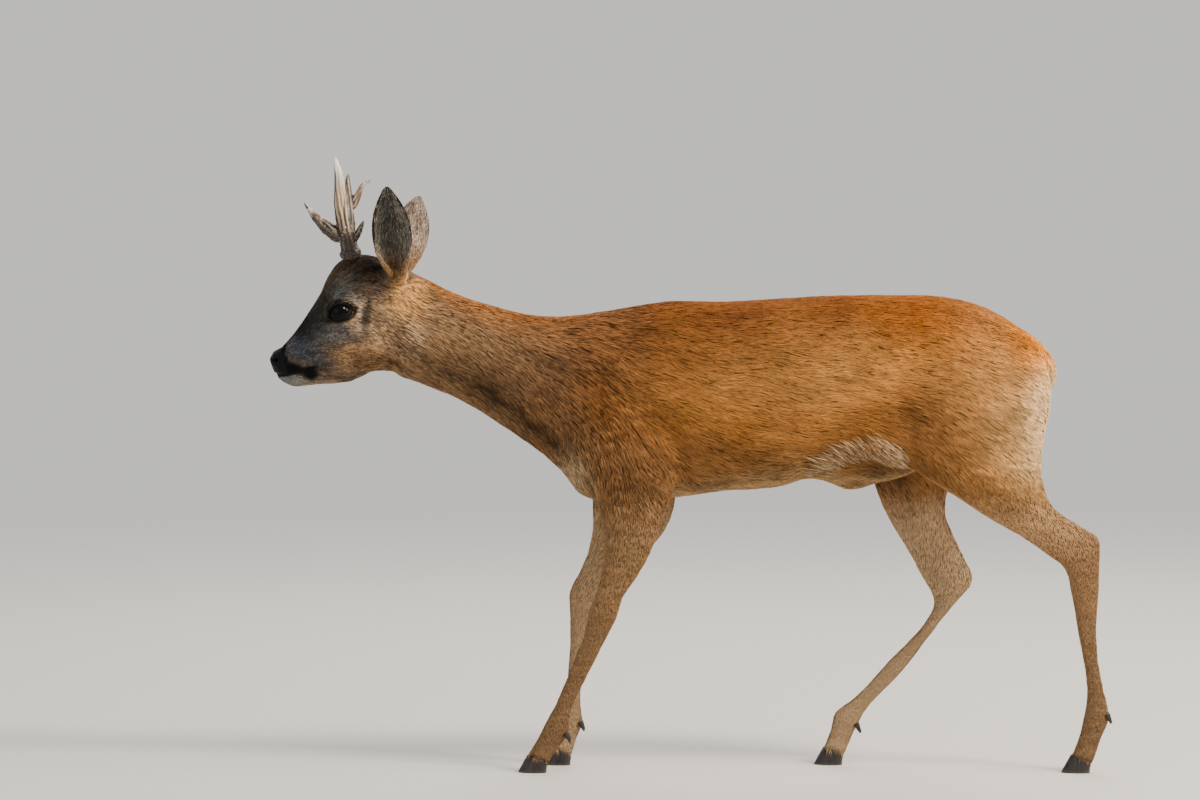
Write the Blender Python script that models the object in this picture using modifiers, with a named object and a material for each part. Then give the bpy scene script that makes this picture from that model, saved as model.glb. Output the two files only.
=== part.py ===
"""Life-size still figure of a roe deer buck, walking with its head held low and forward.

The buck faces -X with its left side towards -Y and stands on its eight claws at z = 0.
Every size in the tables is in millimetres; x = 0 lies under the back of the shoulder.
"""

import math
from collections import namedtuple

import bmesh
import bpy
import numpy as np
from mathutils import Matrix, Vector

MM = 0.001
GAP = 0.3
VOXEL = 3.2
BODY_TRIANGLES = 4100
COLLECTION = "roe_deer"

# One section across a body mass: two points on its profile outline as (x, z), the y of its
# middle, half its width, where up its height it is widest, and how full each half is.
Section = namedtuple("Section", "top bottom side half level upper lower")

LEFT = -1.0
RIGHT = 1.0
SIDES = (("left", LEFT), ("right", RIGHT))

TORSO = (
    Section((514, 590), (511, 552), 0, 26, 0.50, 2.0, 2.0),
    Section((503, 613), (492, 500), 0, 42, 0.52, 2.0, 1.8),
    Section((467, 641), (454, 478), 0, 62, 0.50, 2.0, 1.8),
    Section((413, 673), (401, 455), 0, 79, 0.50, 2.0, 1.9),
    Section((348, 689), (343, 444), 0, 86, 0.50, 2.0, 1.9),
    Section((276, 690), (270, 440), 0, 91, 0.49, 2.0, 2.0),
    Section((203, 690), (202, 444), 0, 97, 0.46, 2.0, 2.1),
    Section((123, 686), (123, 411), 0, 101, 0.45, 2.0, 2.1),
    Section((36, 681), (36, 404), 0, 94, 0.46, 1.9, 2.1),
    Section((-44, 683), (-41, 393), 0, 80, 0.46, 1.8, 2.0),
    Section((-102, 675), (-113, 390), 0, 64, 0.46, 1.7, 2.0),
    Section((-157, 666), (-168, 398), 0, 58, 0.44, 1.8, 1.9),
    Section((-203, 660), (-214, 444), 0, 55, 0.44, 1.9, 1.9),
    Section((-246, 663), (-273, 488), 0, 50, 0.46, 1.9, 1.9),
    Section((-303, 677), (-354, 537), 0, 45, 0.50, 1.9, 1.9),
    Section((-360, 696), (-408, 560), 0, 42, 0.50, 1.9, 2.0),
    Section((-405, 719), (-444, 578), 0, 40, 0.52, 2.0, 2.0),
    Section((-428, 726), (-452, 600), 0, 34, 0.52, 2.0, 2.0),
)

HEAD = (
    Section((-408, 716), (-412, 622), 0, 26, 0.55, 2.0, 2.0),
    Section((-434, 733), (-424, 598), 0, 35, 0.56, 2.1, 1.9),
    Section((-464, 744), (-436, 583), 0, 41, 0.60, 2.2, 1.8),
    Section((-492, 748), (-448, 578), 0, 44, 0.64, 2.3, 1.7),
    Section((-521, 739), (-464, 578), 0, 46, 0.68, 2.3, 1.7),
    Section((-538, 718), (-476, 577), 0, 47, 0.70, 2.3, 1.6),
    Section((-550, 691), (-487, 571), 0, 46, 0.68, 2.3, 1.6),
    Section((-566, 666), (-508, 562), 0, 39, 0.64, 2.3, 1.7),
    Section((-580, 645), (-530, 560), 0, 31, 0.60, 2.3, 1.8),
    Section((-596, 625), (-552, 559), 0, 25, 0.56, 2.4, 1.9),
    Section((-608, 613), (-572, 557), 0, 23, 0.54, 2.4, 2.0),
    Section((-616, 610), (-590, 556), 0, 21.5, 0.54, 2.4, 2.0),
    Section((-622, 604), (-604, 562), 0, 17.5, 0.54, 2.3, 2.0),
    Section((-626, 597), (-616, 572), 0, 11, 0.52, 2.0, 2.0),
)

# The leg sections run front point, rear point; the side is that of the left or right leg.
FORELEG_LEFT = (
    Section((-132, 650), (-76, 645), -20, 9, 0.5, 2.0, 2.0),
    Section((-152, 600), (-60, 590), -38, 16, 0.5, 2.0, 2.0),
    Section((-168, 548), (-44, 532), -46, 22, 0.5, 2.0, 1.9),
    Section((-177, 493), (-34, 478), -52, 26, 0.5, 2.0, 1.9),
    Section((-168, 437), (-31, 437), -58, 27, 0.5, 2.1, 1.9),
    Section((-151, 394), (-40, 404), -61, 25, 0.5, 2.1, 2.0),
    Section((-141, 350), (-60, 346), -61, 20, 0.5, 2.2, 1.9),
    Section((-142, 302), (-87, 290), -59, 16, 0.5, 2.1, 2.0),
    Section((-151, 262), (-113, 251), -57, 14, 0.5, 2.0, 2.0),
    Section((-161, 236), (-120, 226), -56, 15, 0.5, 2.2, 2.1),
    Section((-167, 207), (-134, 197), -55, 12, 0.5, 2.1, 2.0),
    Section((-189, 148), (-164, 138), -54, 9.5, 0.5, 2.0, 2.0),
    Section((-213, 92), (-188, 82), -54, 11, 0.5, 2.0, 2.0),
    Section((-224, 72), (-190, 58), -54, 14, 0.5, 2.1, 2.1),
    Section((-236, 48), (-205, 36), -54, 13, 0.5, 2.1, 2.1),
    Section((-247, 30), (-217, 19), -54, 15, 0.5, 2.1, 2.1),
    Section((-254, 16), (-222, 6), -54, 15, 0.5, 2.1, 2.1),
)

FORELEG_RIGHT = (
    Section((-140, 650), (-84, 645), 20, 9, 0.5, 2.0, 2.0),
    Section((-158, 600), (-68, 590), 38, 16, 0.5, 2.0, 2.0),
    Section((-172, 548), (-54, 534), 46, 22, 0.5, 2.0, 1.9),
    Section((-180, 495), (-45, 482), 52, 26, 0.5, 2.0, 1.9),
    Section((-172, 441), (-38, 443), 58, 27, 0.5, 2.1, 1.9),
    Section((-160, 400), (-30, 402), 61, 25, 0.5, 2.1, 2.0),
    Section((-156, 360), (-44, 352), 61, 21, 0.5, 2.2, 1.9),
    Section((-161, 318), (-86, 302), 59, 17, 0.5, 2.1, 1.9),
    Section((-177, 279), (-134, 264), 57, 14, 0.5, 2.0, 2.0),
    Section((-190, 251), (-150, 241), 56, 15, 0.5, 2.2, 2.1),
    Section((-189, 221), (-155, 216), 55, 12, 0.5, 2.1, 2.0),
    Section((-191, 152), (-166, 149), 54, 9.5, 0.5, 2.0, 2.0),
    Section((-199, 93), (-173, 89), 54, 11, 0.5, 2.0, 2.0),
    Section((-205, 75), (-170, 64), 54, 14, 0.5, 2.1, 2.1),
    Section((-210, 50), (-179, 39), 54, 13, 0.5, 2.1, 2.1),
    Section((-216, 30), (-185, 19), 54, 15, 0.5, 2.1, 2.1),
    Section((-220, 16), (-188, 6), 54, 15, 0.5, 2.1, 2.1),
)

HINDLEG_LEFT = (
    Section((330, 660), (470, 636), -30, 20, 0.5, 2.0, 2.0),
    Section((300, 608), (500, 596), -49, 31, 0.5, 2.0, 2.0),
    Section((284, 548), (511, 545), -57, 35, 0.5, 2.0, 2.0),
    Section((279, 490), (501, 490), -63, 34, 0.5, 2.1, 2.0),
    Section((300, 444), (494, 447), -67, 31, 0.5, 2.1, 2.0),
    Section((352, 410), (500, 412), -69, 27, 0.5, 2.1, 2.0),
    Section((412, 370), (508, 392), -66, 22, 0.5, 2.1, 1.8),
    Section((464, 341), (525, 376), -61, 17, 0.5, 2.1, 1.7),
    Section((504, 313), (556, 357), -58, 14, 0.5, 2.1, 1.7),
    Section((528, 293), (577, 338), -56, 15.5, 0.5, 2.2, 1.8),
    Section((535, 264), (577, 283), -55, 13, 0.5, 2.1, 2.0),
    Section((547, 196), (573, 200), -56, 9.5, 0.5, 2.0, 2.0),
    Section((559, 116), (584, 119), -57, 10.5, 0.5, 2.0, 2.0),
    Section((557, 92), (592, 86), -57, 14, 0.5, 2.1, 2.1),
    Section((549, 58), (579, 47), -57, 13, 0.5, 2.1, 2.1),
    Section((540, 30), (570, 19), -57, 15, 0.5, 2.1, 2.1),
    Section((534, 16), (566, 6), -57, 15, 0.5, 2.1, 2.1),
)

HINDLEG_RIGHT = (
    Section((330, 660), (470, 636), 30, 20, 0.5, 2.0, 2.0),
    Section((296, 606), (494, 592), 49, 31, 0.5, 2.0, 2.0),
    Section((266, 546), (488, 540), 58, 35, 0.5, 2.0, 2.0),
    Section((249, 488), (454, 486), 65, 34, 0.5, 2.1, 2.0),
    Section((246, 438), (404, 440), 69, 31, 0.5, 2.1, 2.0),
    Section((258, 394), (366, 402), 70, 27, 0.5, 2.1, 1.9),
    Section((277, 356), (361, 364), 67, 22, 0.5, 2.1, 1.8),
    Section((301, 318), (375, 330), 63, 17.5, 0.5, 2.1, 1.7),
    Section((325, 273), (391, 296), 59, 14, 0.5, 2.1, 1.7),
    Section((343, 240), (400, 270), 57, 15.5, 0.5, 2.2, 1.8),
    Section((330, 210), (367, 229), 55, 13, 0.5, 2.1, 2.0),
    Section((276, 152), (297, 137), 56, 9.5, 0.5, 2.0, 2.0),
    Section((220, 93), (241, 76), 57, 10.5, 0.5, 2.0, 2.0),
    Section((199, 77), (233, 61), 57, 14, 0.5, 2.1, 2.1),
    Section((191, 49), (221, 37), 57, 13, 0.5, 2.1, 2.1),
    Section((184, 30), (214, 19), 57, 15, 0.5, 2.1, 2.1),
    Section((178, 16), (210, 6), 57, 15, 0.5, 2.1, 2.1),
)

# Muscle and bone that swell the form: middle (x, y, z), radii, and the turn about Y in degrees.
SWELLS = (
    ("brow", (-512, 33, 683), (24, 12, 11), -24),
    ("cheek_arch", (-500, 36, 652), (36, 9, 9), -20),
    ("face_crest", (-546, 27, 630), (26, 8, 8), -38),
    ("jaw_muscle", (-484, 22, 624), (36, 15, 32), -20),
    ("neck_muscle", (-446, 20, 664), (42, 20, 52), 20),
    ("ear_root", (-442, 34, 722), (24, 18, 19), 0),
    ("upper_lip", (-583, 14, 590), (26, 10, 12), -20),
    ("point_of_shoulder", (-170, 46, 468), (24, 22, 36), 0),
    ("elbow_point", (-52, 62, 408), (17, 13, 20), 0),
    ("sit_bone", (468, 32, 594), (32, 27, 44), 0),
    ("flank_fold", (276, 60, 478), (60, 20, 34), 20),
)
MIDLINE_SWELLS = (
    ("brisket", (-150, 0, 425), (44, 36, 36), 20),
    ("groin", (232, 0, 456), (108, 46, 43), -2),
    ("sheath", (224, 0, 415), (32, 13, 12), -6),
    ("scrotum", (378, 0, 440), (22, 20, 26), 0),
)

PEDICLE_BASE = (-500, 23, 722)
PEDICLE_TOP = (-506, 27, 748)
PEDICLE_RADIUS = 12.0

EYE_MIDDLE = (-520.5, 33.0, 665.5)
EYE_RADIUS = 18.5
EYE_OPENING = (22.5, 13.0, 14.0)
EYE_OPENING_OUT = 49.0
EYE_OPENING_TURN = -28.0

# Antler pieces as stations (x, y, z, radius).
BEAM_LEFT = (
    (-506, -26, 743, 11.5), (-506, -27, 747, 15.5), (-507, -27.5, 752, 15.0),
    (-508, -28, 757, 11.2), (-512, -31, 776, 10.2), (-517, -34, 800, 10.0), (-520, -39, 824, 9.6),
    (-520.5, -43, 846, 8.2), (-522, -47, 868, 6.0), (-526, -50, 886, 2.6), (-528, -51, 894.5, 0.9),
)
FRONT_TINE_LEFT = (
    (-512, -31, 774, 7.0), (-526, -32, 782, 7.5), (-541, -34, 793, 6.6), (-555, -37, 805, 4.8),
    (-566, -41, 815.5, 1.0),
)
BACK_TINE_LEFT = (
    (-509, -30, 766, 6.0), (-501, -31, 772, 6.0), (-493, -33, 783, 4.8), (-488, -35, 793, 3.2),
    (-485.5, -36, 801, 0.9),
)
BEAM_RIGHT = (
    (-506, 26, 743, 11.5), (-506, 27, 747, 15.5), (-507, 27.5, 752, 15.0),
    (-508, 28, 757, 11.2), (-510, 32, 776, 10.2), (-511, 37, 800, 9.6), (-512, 43, 822, 8.6),
    (-512, 48, 842, 7.0), (-511, 52, 858, 3.4), (-510, 54, 867, 0.9),
)
FRONT_TINE_RIGHT = (
    (-511, 31, 768, 7.0), (-526, 32, 771, 8.2), (-543, 34, 783, 7.8), (-560, 38, 801, 5.6),
    (-570, 42, 815, 3.4), (-577, 45, 826, 1.0),
)
BACK_TINE_RIGHT = (
    (-511, 40, 812, 6.5), (-503, 43, 818, 6.6), (-497, 46, 832, 5.8), (-491, 49, 845, 4.4),
    (-484, 51, 851, 2.8), (-477, 52, 853.5, 0.9),
)

# The ears: foot, tip, the way the cup opens, and stations (share of length, half width,
# half angle of the cup in degrees, thickness).
EAR_LEFT = ((-437, -36, 722), (-452, -92, 850), (-0.06, -1.0, -0.12))
EAR_RIGHT = ((-436, 36, 720), (-408, 84, 831), (-0.12, 1.0, -0.30))
EAR_STATIONS = (
    (0.00, 13.5, 150, 10.0), (0.10, 18.5, 140, 10.0), (0.20, 23.0, 122, 5.0), (0.32, 27.0, 102, 3.2),
    (0.46, 29.3, 84, 3.0), (0.60, 28.4, 73, 2.8), (0.74, 23.2, 64, 2.6), (0.87, 14.5, 58, 2.4),
    (0.96, 7.0, 54, 2.2), (1.00, 2.4, 50, 1.8),
)

# Each leg: its sections and where the toes end.
LEGS = (
    ("foreleg_left", FORELEG_LEFT, -265),
    ("foreleg_right", FORELEG_RIGHT, -231),
    ("hindleg_left", HINDLEG_LEFT, 521),
    ("hindleg_right", HINDLEG_RIGHT, 166),
)
FLAT_SLOTS = ("hoof", "dewclaw")
UPPER_NAME = {"fore": "forearm", "hind": "thigh"}
KNEE_ROW = 9
FETLOCK_ROW = 13

CLAW_LENGTH = 42.0
CLAW_TOP_LENGTH = 27.0
CLAW_HEEL_HEIGHT = 17.0
CLAW_FRONT_HEIGHT = 27.0
# One claw seen from above, heel at 0 and toe at 1 of its length, out from the cleft in mm.
CLAW_OUTLINE = (
    (0.00, 1.4), (-0.03, 5.0), (0.00, 9.5), (0.08, 13.5), (0.24, 16.2), (0.45, 16.6),
    (0.66, 14.4), (0.84, 10.0), (0.96, 5.0), (1.00, 2.4), (0.97, 1.2), (0.60, 1.0), (0.30, 1.0),
)
DEWCLAW_RADIUS = 5.5
DEWCLAW_LENGTH = 15.0

TAIL = (
    Section((502, 612), (494, 600), 0, 8, 0.5, 2.0, 2.0),
    Section((514, 598), (499, 592), 0, 13, 0.5, 2.0, 2.0),
    Section((519, 580), (505, 576), 0, 14, 0.5, 2.0, 2.0),
    Section((518, 562), (508, 560), 0, 10, 0.5, 2.0, 2.0),
)

HEAD_CUT = ((-404, 745), (-452, 555))
NOSE_CUT = ((-594, 640), (-612, 566))
NECK_CUT = ((-176, 690), (-213, 395))
FORELEG_CUT_HEIGHT = 378
HINDLEG_CUT = ((225, 379), (545, 477))

COLOURS = {
    "coat": ((0.42, 0.20, 0.075), 0.85, 0.0),
    "neck_coat": ((0.36, 0.20, 0.10), 0.85, 0.0),
    "head_coat": ((0.25, 0.17, 0.11), 0.85, 0.0),
    "leg_coat": ((0.40, 0.23, 0.11), 0.85, 0.0),
    "foot_coat": ((0.33, 0.20, 0.11), 0.85, 0.0),
    "tail_coat": ((0.70, 0.56, 0.40), 0.85, 0.0),
    "ear_coat": ((0.26, 0.19, 0.13), 0.85, 0.0),
    "nose_skin": ((0.012, 0.012, 0.014), 0.35, 0.0),
    "eye": ((0.010, 0.007, 0.006), 0.08, 0.0),
    "antler": ((0.20, 0.14, 0.095), 0.55, 0.0),
    "antler_tine": ((0.34, 0.27, 0.20), 0.50, 0.0),
    "hoof": ((0.035, 0.030, 0.028), 0.45, 0.0),
    "dewclaw": ((0.045, 0.038, 0.034), 0.50, 0.0),
}


def clear_scene():
    """Remove every object, mesh and material the file starts with."""
    for item in list(bpy.data.objects):
        bpy.data.objects.remove(item, do_unlink=True)
    for item in list(bpy.data.meshes):
        bpy.data.meshes.remove(item)
    for item in list(bpy.data.materials):
        bpy.data.materials.remove(item)


def make_collection(name):
    """Make a collection under the scene's own."""
    collection = bpy.data.collections.new(name)
    bpy.context.scene.collection.children.link(collection)
    return collection


def make_object(name, mesh_data, collection):
    """Put a mesh into the scene as an object."""
    item = bpy.data.objects.new(name, mesh_data)
    collection.objects.link(item)
    return item


def mesh_from_bmesh(name, shape):
    """Turn a bmesh into a mesh with its faces outward."""
    bmesh.ops.recalc_face_normals(shape, faces=shape.faces)
    data = bpy.data.meshes.new(name)
    shape.to_mesh(data)
    shape.free()
    return data


def eased_rows(rows, steps):
    """Pass a smooth curve through the rows, with the given number of steps in each gap."""
    rows = np.array(rows, dtype=float)
    reach = np.linalg.norm(np.diff(rows[:, :3], axis=0), axis=1)
    at = np.concatenate(([0.0], np.cumsum(np.maximum(reach, 1e-6))))
    slopes = np.gradient(rows, at, axis=0)
    eased = []
    for index in range(len(rows) - 1):
        gap = at[index + 1] - at[index]
        for step in range(steps):
            t = step / steps
            a = 2 * t ** 3 - 3 * t ** 2 + 1
            b = t ** 3 - 2 * t ** 2 + t
            c = 3 * t ** 2 - 2 * t ** 3
            d = t ** 3 - t ** 2
            row = a * rows[index] + b * gap * slopes[index]
            eased.append(row + c * rows[index + 1] + d * gap * slopes[index + 1])
    eased.append(rows[-1])
    return np.array(eased)


def section_ring(row, count):
    """Points round one section, given as a row of plain numbers."""
    top = np.array((row[0], row[1]))
    bottom = np.array((row[2], row[3]))
    side, half, level, upper, lower = row[4:9]
    points = []
    for step in range(count):
        angle = 2 * math.pi * step / count
        cosine = math.cos(angle)
        sine = math.sin(angle)
        power = 2.0 / (upper if cosine > 0 else lower)
        rise = math.copysign(abs(cosine) ** power, cosine)
        out = math.copysign(abs(sine) ** power, sine)
        share = level + (1 - level) * rise if rise > 0 else level + level * rise
        place = bottom + (top - bottom) * share
        points.append(Vector((place[0], side + half * out, place[1])) * MM)
    return points


def skin_rings(shape, rings):
    """Join rings of equal count with faces and close both ends."""
    loops = [[shape.verts.new(point) for point in ring] for ring in rings]
    count = len(loops[0])
    for first, second in zip(loops, loops[1:]):
        for step in range(count):
            after = (step + 1) % count
            shape.faces.new((first[step], first[after], second[after], second[step]))
    shape.faces.new(list(reversed(loops[0])))
    shape.faces.new(loops[-1])


def loft_sections(sections, count, steps):
    """Make a closed bmesh through the given sections."""
    rows = [(*item.top, *item.bottom, item.side, item.half, item.level, item.upper, item.lower)
            for item in sections]
    shape = bmesh.new()
    skin_rings(shape, [section_ring(row, count) for row in eased_rows(rows, steps)])
    return shape


def ellipsoid(middle, radii, turn):
    """Make a closed ellipsoid bmesh, its turn about Y in degrees."""
    shape = bmesh.new()
    bmesh.ops.create_icosphere(shape, subdivisions=3, radius=1.0)
    scale = Matrix.Diagonal((radii[0] * MM, radii[1] * MM, radii[2] * MM, 1.0))
    spin = Matrix.Rotation(math.radians(turn), 4, "Y")
    shift = Matrix.Translation(Vector(middle) * MM)
    bmesh.ops.transform(shape, matrix=shift @ spin @ scale, verts=shape.verts)
    return shape


def tube(stations, count, steps):
    """Make a closed tapering tube through stations of (x, y, z, radius)."""
    rows = eased_rows(stations, steps) * MM
    forward = np.gradient(rows[:, :3], axis=0)
    rings = []
    for row, ahead in zip(rows, forward):
        along = Vector(ahead).normalized()
        across = along.cross(Vector((0.0, 1.0, 0.0))).normalized()
        other = along.cross(across)
        middle = Vector(row[:3])
        ring = []
        for step in range(count):
            angle = 2 * math.pi * step / count
            offset = across * math.cos(angle) + other * math.sin(angle)
            ring.append(middle + offset * max(row[3], 0.6 * MM))
        rings.append(ring)
    shape = bmesh.new()
    skin_rings(shape, rings)
    bmesh.ops.recalc_face_normals(shape, faces=shape.faces)
    return shape


def ear_shape(foot, tip, opening):
    """Make one cupped, pointed ear as a closed shell, solid at its root."""
    foot = Vector(foot)
    axis = Vector(tip) - foot
    length = axis.length
    axis.normalize()
    face = Vector(opening)
    face = (face - axis * face.dot(axis)).normalized()
    across = axis.cross(face)
    rings = []
    points = 7
    for share, half, angle, thick in EAR_STATIONS:
        spread = math.radians(angle)
        radius = half if angle >= 90 else half / math.sin(spread)
        middle = foot + axis * (share * length) + face * (radius * 0.55)
        outer = []
        inner = []
        for step in range(points):
            turn = spread * (2 * step / (points - 1) - 1)
            way = across * math.sin(turn) - face * math.cos(turn)
            outer.append((middle + way * radius) * MM)
            inner.append((middle + way * (radius - thick)) * MM)
        rings.append(outer + list(reversed(inner)))
    shape = bmesh.new()
    skin_rings(shape, rings)
    bmesh.ops.recalc_face_normals(shape, faces=shape.faces)
    return shape


def claw_shape(toe, middle, outward):
    """Make one claw of a foot, standing flat on the floor."""
    heel = toe + CLAW_LENGTH
    rings = []
    for share in (0.0, 0.5, 1.0):
        length = CLAW_LENGTH + (CLAW_TOP_LENGTH - CLAW_LENGTH) * share
        inset = 1.0 - 0.06 * share ** 2
        ring = []
        for along, out in CLAW_OUTLINE:
            top = CLAW_HEEL_HEIGHT + (CLAW_FRONT_HEIGHT - CLAW_HEEL_HEIGHT) * along
            ring.append(Vector((heel - along * length, middle + outward * out * inset, top * share)) * MM)
        rings.append(ring)
    shape = bmesh.new()
    skin_rings(shape, rings)
    bmesh.ops.recalc_face_normals(shape, faces=shape.faces)
    return shape


def dewclaw_shape(rear, side):
    """Make one small blunt dewclaw behind a fetlock."""
    shape = bmesh.new()
    bmesh.ops.create_cone(
        shape, cap_ends=True, segments=7, radius1=DEWCLAW_RADIUS * MM, radius2=2.2 * MM,
        depth=DEWCLAW_LENGTH * MM)
    spin = Matrix.Rotation(math.radians(152), 4, "Y")
    shift = Matrix.Translation(Vector((rear[0], side, rear[1])) * MM)
    bmesh.ops.transform(shape, matrix=shift @ spin, verts=shape.verts)
    return shape


def add_shape(total, shape):
    """Copy one bmesh into another."""
    data = mesh_from_bmesh("copy", shape)
    total.from_mesh(data)
    bpy.data.meshes.remove(data)


def body_masses():
    """Gather the trunk, neck, head, legs and muscles as overlapping closed shells."""
    total = bmesh.new()
    add_shape(total, loft_sections(TORSO, 40, 6))
    add_shape(total, loft_sections(HEAD, 36, 6))
    for _, sections, _ in LEGS:
        add_shape(total, loft_sections(sections, 24, 6))
    for _, middle, radii, turn in SWELLS:
        for _, sign in SIDES:
            add_shape(total, ellipsoid((middle[0], middle[1] * sign, middle[2]), radii, turn))
    for _, middle, radii, turn in MIDLINE_SWELLS:
        add_shape(total, ellipsoid(middle, radii, turn))
    for _, sign in SIDES:
        base = (PEDICLE_BASE[0], PEDICLE_BASE[1] * sign, PEDICLE_BASE[2], PEDICLE_RADIUS)
        top = (PEDICLE_TOP[0], PEDICLE_TOP[1] * sign, PEDICLE_TOP[2], PEDICLE_RADIUS)
        add_shape(total, tube((base, top), 16, 2))
    return total


def apply_modifiers(item):
    """Bake an object's modifiers into its mesh."""
    graph = bpy.context.evaluated_depsgraph_get()
    data = bpy.data.meshes.new_from_object(item.evaluated_get(graph))
    old = item.data
    item.modifiers.clear()
    item.data = data
    bpy.data.meshes.remove(old)


def soft_weight(place):
    """How far the joins between masses are eased at a place, from 0 to 1."""
    if place.x < -0.38 and place.z > 0.54:
        return max(0.16, 1.0 - (-0.38 - place.x) / 0.09)
    if place.z < 0.34:
        return 0.08
    return min(1.0, 0.08 + (place.z - 0.34) / 0.05)


def detail_weight(place):
    """How freely the surface may be made coarser at a place: 1 is freely, 0 is not at all."""
    if place.x < -0.44 and place.z > 0.54:
        return 0.2
    if place.z < 0.11:
        return 0.5
    if place.z < 0.37:
        return 0.7
    return 1.0


def weigh(item, name, rule):
    """Give an object a vertex group whose weights follow a rule of place."""
    group = item.vertex_groups.new(name=name)
    for vertex in item.data.vertices:
        group.add([vertex.index], rule(vertex.co), "REPLACE")


def make_body(collection):
    """Merge the masses into one smooth closed body of few triangles."""
    item = make_object("body", mesh_from_bmesh("body", body_masses()), collection)
    remesh = item.modifiers.new("merge", "REMESH")
    remesh.mode = "VOXEL"
    remesh.voxel_size = VOXEL * MM
    apply_modifiers(item)
    weigh(item, "soft", soft_weight)
    smooth = item.modifiers.new("ease", "SMOOTH")
    smooth.factor = 0.5
    smooth.iterations = 70
    smooth.vertex_group = "soft"
    apply_modifiers(item)
    weigh(item, "free", detail_weight)
    triangles = sum(len(face.vertices) - 2 for face in item.data.polygons)
    thin = item.modifiers.new("thin", "DECIMATE")
    thin.ratio = BODY_TRIANGLES / triangles
    thin.vertex_group = "free"
    thin.vertex_group_factor = 0.004
    apply_modifiers(item)
    return item


def grown(shape, amount):
    """Move every face of a closed bmesh outward by about the amount."""
    bmesh.ops.recalc_face_normals(shape, faces=shape.faces)
    shape.normal_update()
    moves = {vertex: vertex.normal * (amount * MM * min(vertex.calc_shell_factor(), 2.5))
             for vertex in shape.verts}
    for vertex, move in moves.items():
        vertex.co += move
    return shape


def cut_away(item, cutter):
    """Take one closed object out of another."""
    cutter.hide_render = True
    cutter.display_type = "WIRE"
    change = item.modifiers.new("cut", "BOOLEAN")
    change.operation = "DIFFERENCE"
    change.solver = "EXACT"
    change.object = cutter
    apply_modifiers(item)


def cut_with(item, shape, name, cutters):
    """Take a closed bmesh out of an object, keeping the cutter as a guide."""
    cutter = make_object(name, mesh_from_bmesh(name, shape), cutters)
    cut_away(item, cutter)


def grown_copy(item, amount):
    """Copy an object's mesh as a bmesh made slightly larger."""
    shape = bmesh.new()
    shape.from_mesh(item.data)
    return grown(shape, amount)


def part_at(shape, start, end, side, half_side):
    """Part a closed bmesh with one thin gap along the line between two profile points."""
    start = Vector((start[0], 0.0, start[1])) * MM
    end = Vector((end[0], 0.0, end[1])) * MM
    middle = (start + end) / 2
    way = (end - start).normalized()
    up = way.cross(Vector((0.0, 1.0, 0.0)))
    reach = (end - start).length / 2

    def near(vertex):
        offset = vertex.co - middle
        beside = abs(vertex.co.y - side * MM) <= half_side * MM
        return beside and abs(offset.dot(way)) <= reach and abs(offset.dot(up)) <= 0.06

    for sign in (-1.0, 1.0):
        faces = [face for face in shape.faces if any(near(vertex) for vertex in face.verts)]
        edges = {edge for face in faces for edge in face.edges}
        verts = {vertex for face in faces for vertex in face.verts}
        bmesh.ops.bisect_plane(
            shape, geom=[*verts, *edges, *faces], dist=1e-7,
            plane_co=middle + up * (sign * GAP * MM / 2), plane_no=up)
    limit = GAP * MM / 2 + 1e-6
    between = [face for face in shape.faces
               if all(near(vertex) and abs((vertex.co - middle).dot(up)) <= limit
                      for vertex in face.verts)]
    bmesh.ops.delete(shape, geom=between, context="FACES")
    edges = [edge for edge in shape.edges if edge.is_boundary]
    bmesh.ops.holes_fill(shape, edges=edges, sides=0)
    loose = [edge for edge in shape.edges if not edge.link_faces]
    bmesh.ops.delete(shape, geom=loose, context="EDGES")
    bmesh.ops.triangulate(shape, faces=shape.faces)


def part_body(body):
    """Part the body with thin cuts, and trim the legs level with the tops of the claws."""
    shape = bmesh.new()
    shape.from_mesh(body.data)
    bmesh.ops.triangulate(shape, faces=shape.faces)
    part_at(shape, *HEAD_CUT, 0, 100)
    part_at(shape, *NOSE_CUT, 0, 60)
    part_at(shape, *NECK_CUT, 0, 130)
    for name, sections, toe in LEGS:
        side = sections[KNEE_ROW].side
        sign = math.copysign(1.0, side)
        if name.startswith("fore"):
            start = (-215, FORELEG_CUT_HEIGHT)
            end = (-15, FORELEG_CUT_HEIGHT)
        else:
            start, end = HINDLEG_CUT
        part_at(shape, start, end, sign * 72, 52)
        for row in (KNEE_ROW, FETLOCK_ROW):
            front = np.array(sections[row].top, dtype=float)
            rear = np.array(sections[row].bottom, dtype=float)
            reach = (rear - front) * 0.35
            part_at(shape, front - reach, rear + reach, side, 30)
        heel = np.array((toe + CLAW_LENGTH, CLAW_HEEL_HEIGHT + 1.5 * GAP))
        front = np.array((toe + CLAW_LENGTH - CLAW_TOP_LENGTH, CLAW_FRONT_HEIGHT + 1.5 * GAP))
        reach = front - heel
        part_at(shape, heel - reach, front + reach, side, 30)
    pieces = split_islands(shape)
    shape.free()
    return name_pieces(pieces)


def split_islands(whole):
    """List the closed pieces of a bmesh, largest first."""
    seen = set()
    pieces = []
    for start in whole.verts:
        if start in seen:
            continue
        island = {start}
        front = [start]
        while front:
            vertex = front.pop()
            for edge in vertex.link_edges:
                other = edge.other_vert(vertex)
                if other not in island:
                    island.add(other)
                    front.append(other)
        seen |= island
        piece = bmesh.new()
        made = {vertex: piece.verts.new(vertex.co) for vertex in whole.verts if vertex in island}
        for face in whole.faces:
            if face.verts[0] in island:
                piece.faces.new([made[vertex] for vertex in face.verts])
        pieces.append(piece)
    pieces.sort(key=lambda piece: -abs(piece.calc_volume()))
    return pieces


def bounds_middle(piece):
    """Middle of a bmesh's bounds, in millimetres."""
    places = np.array([vertex.co[:] for vertex in piece.verts]) / MM
    return (places.min(axis=0) + places.max(axis=0)) / 2


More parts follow.
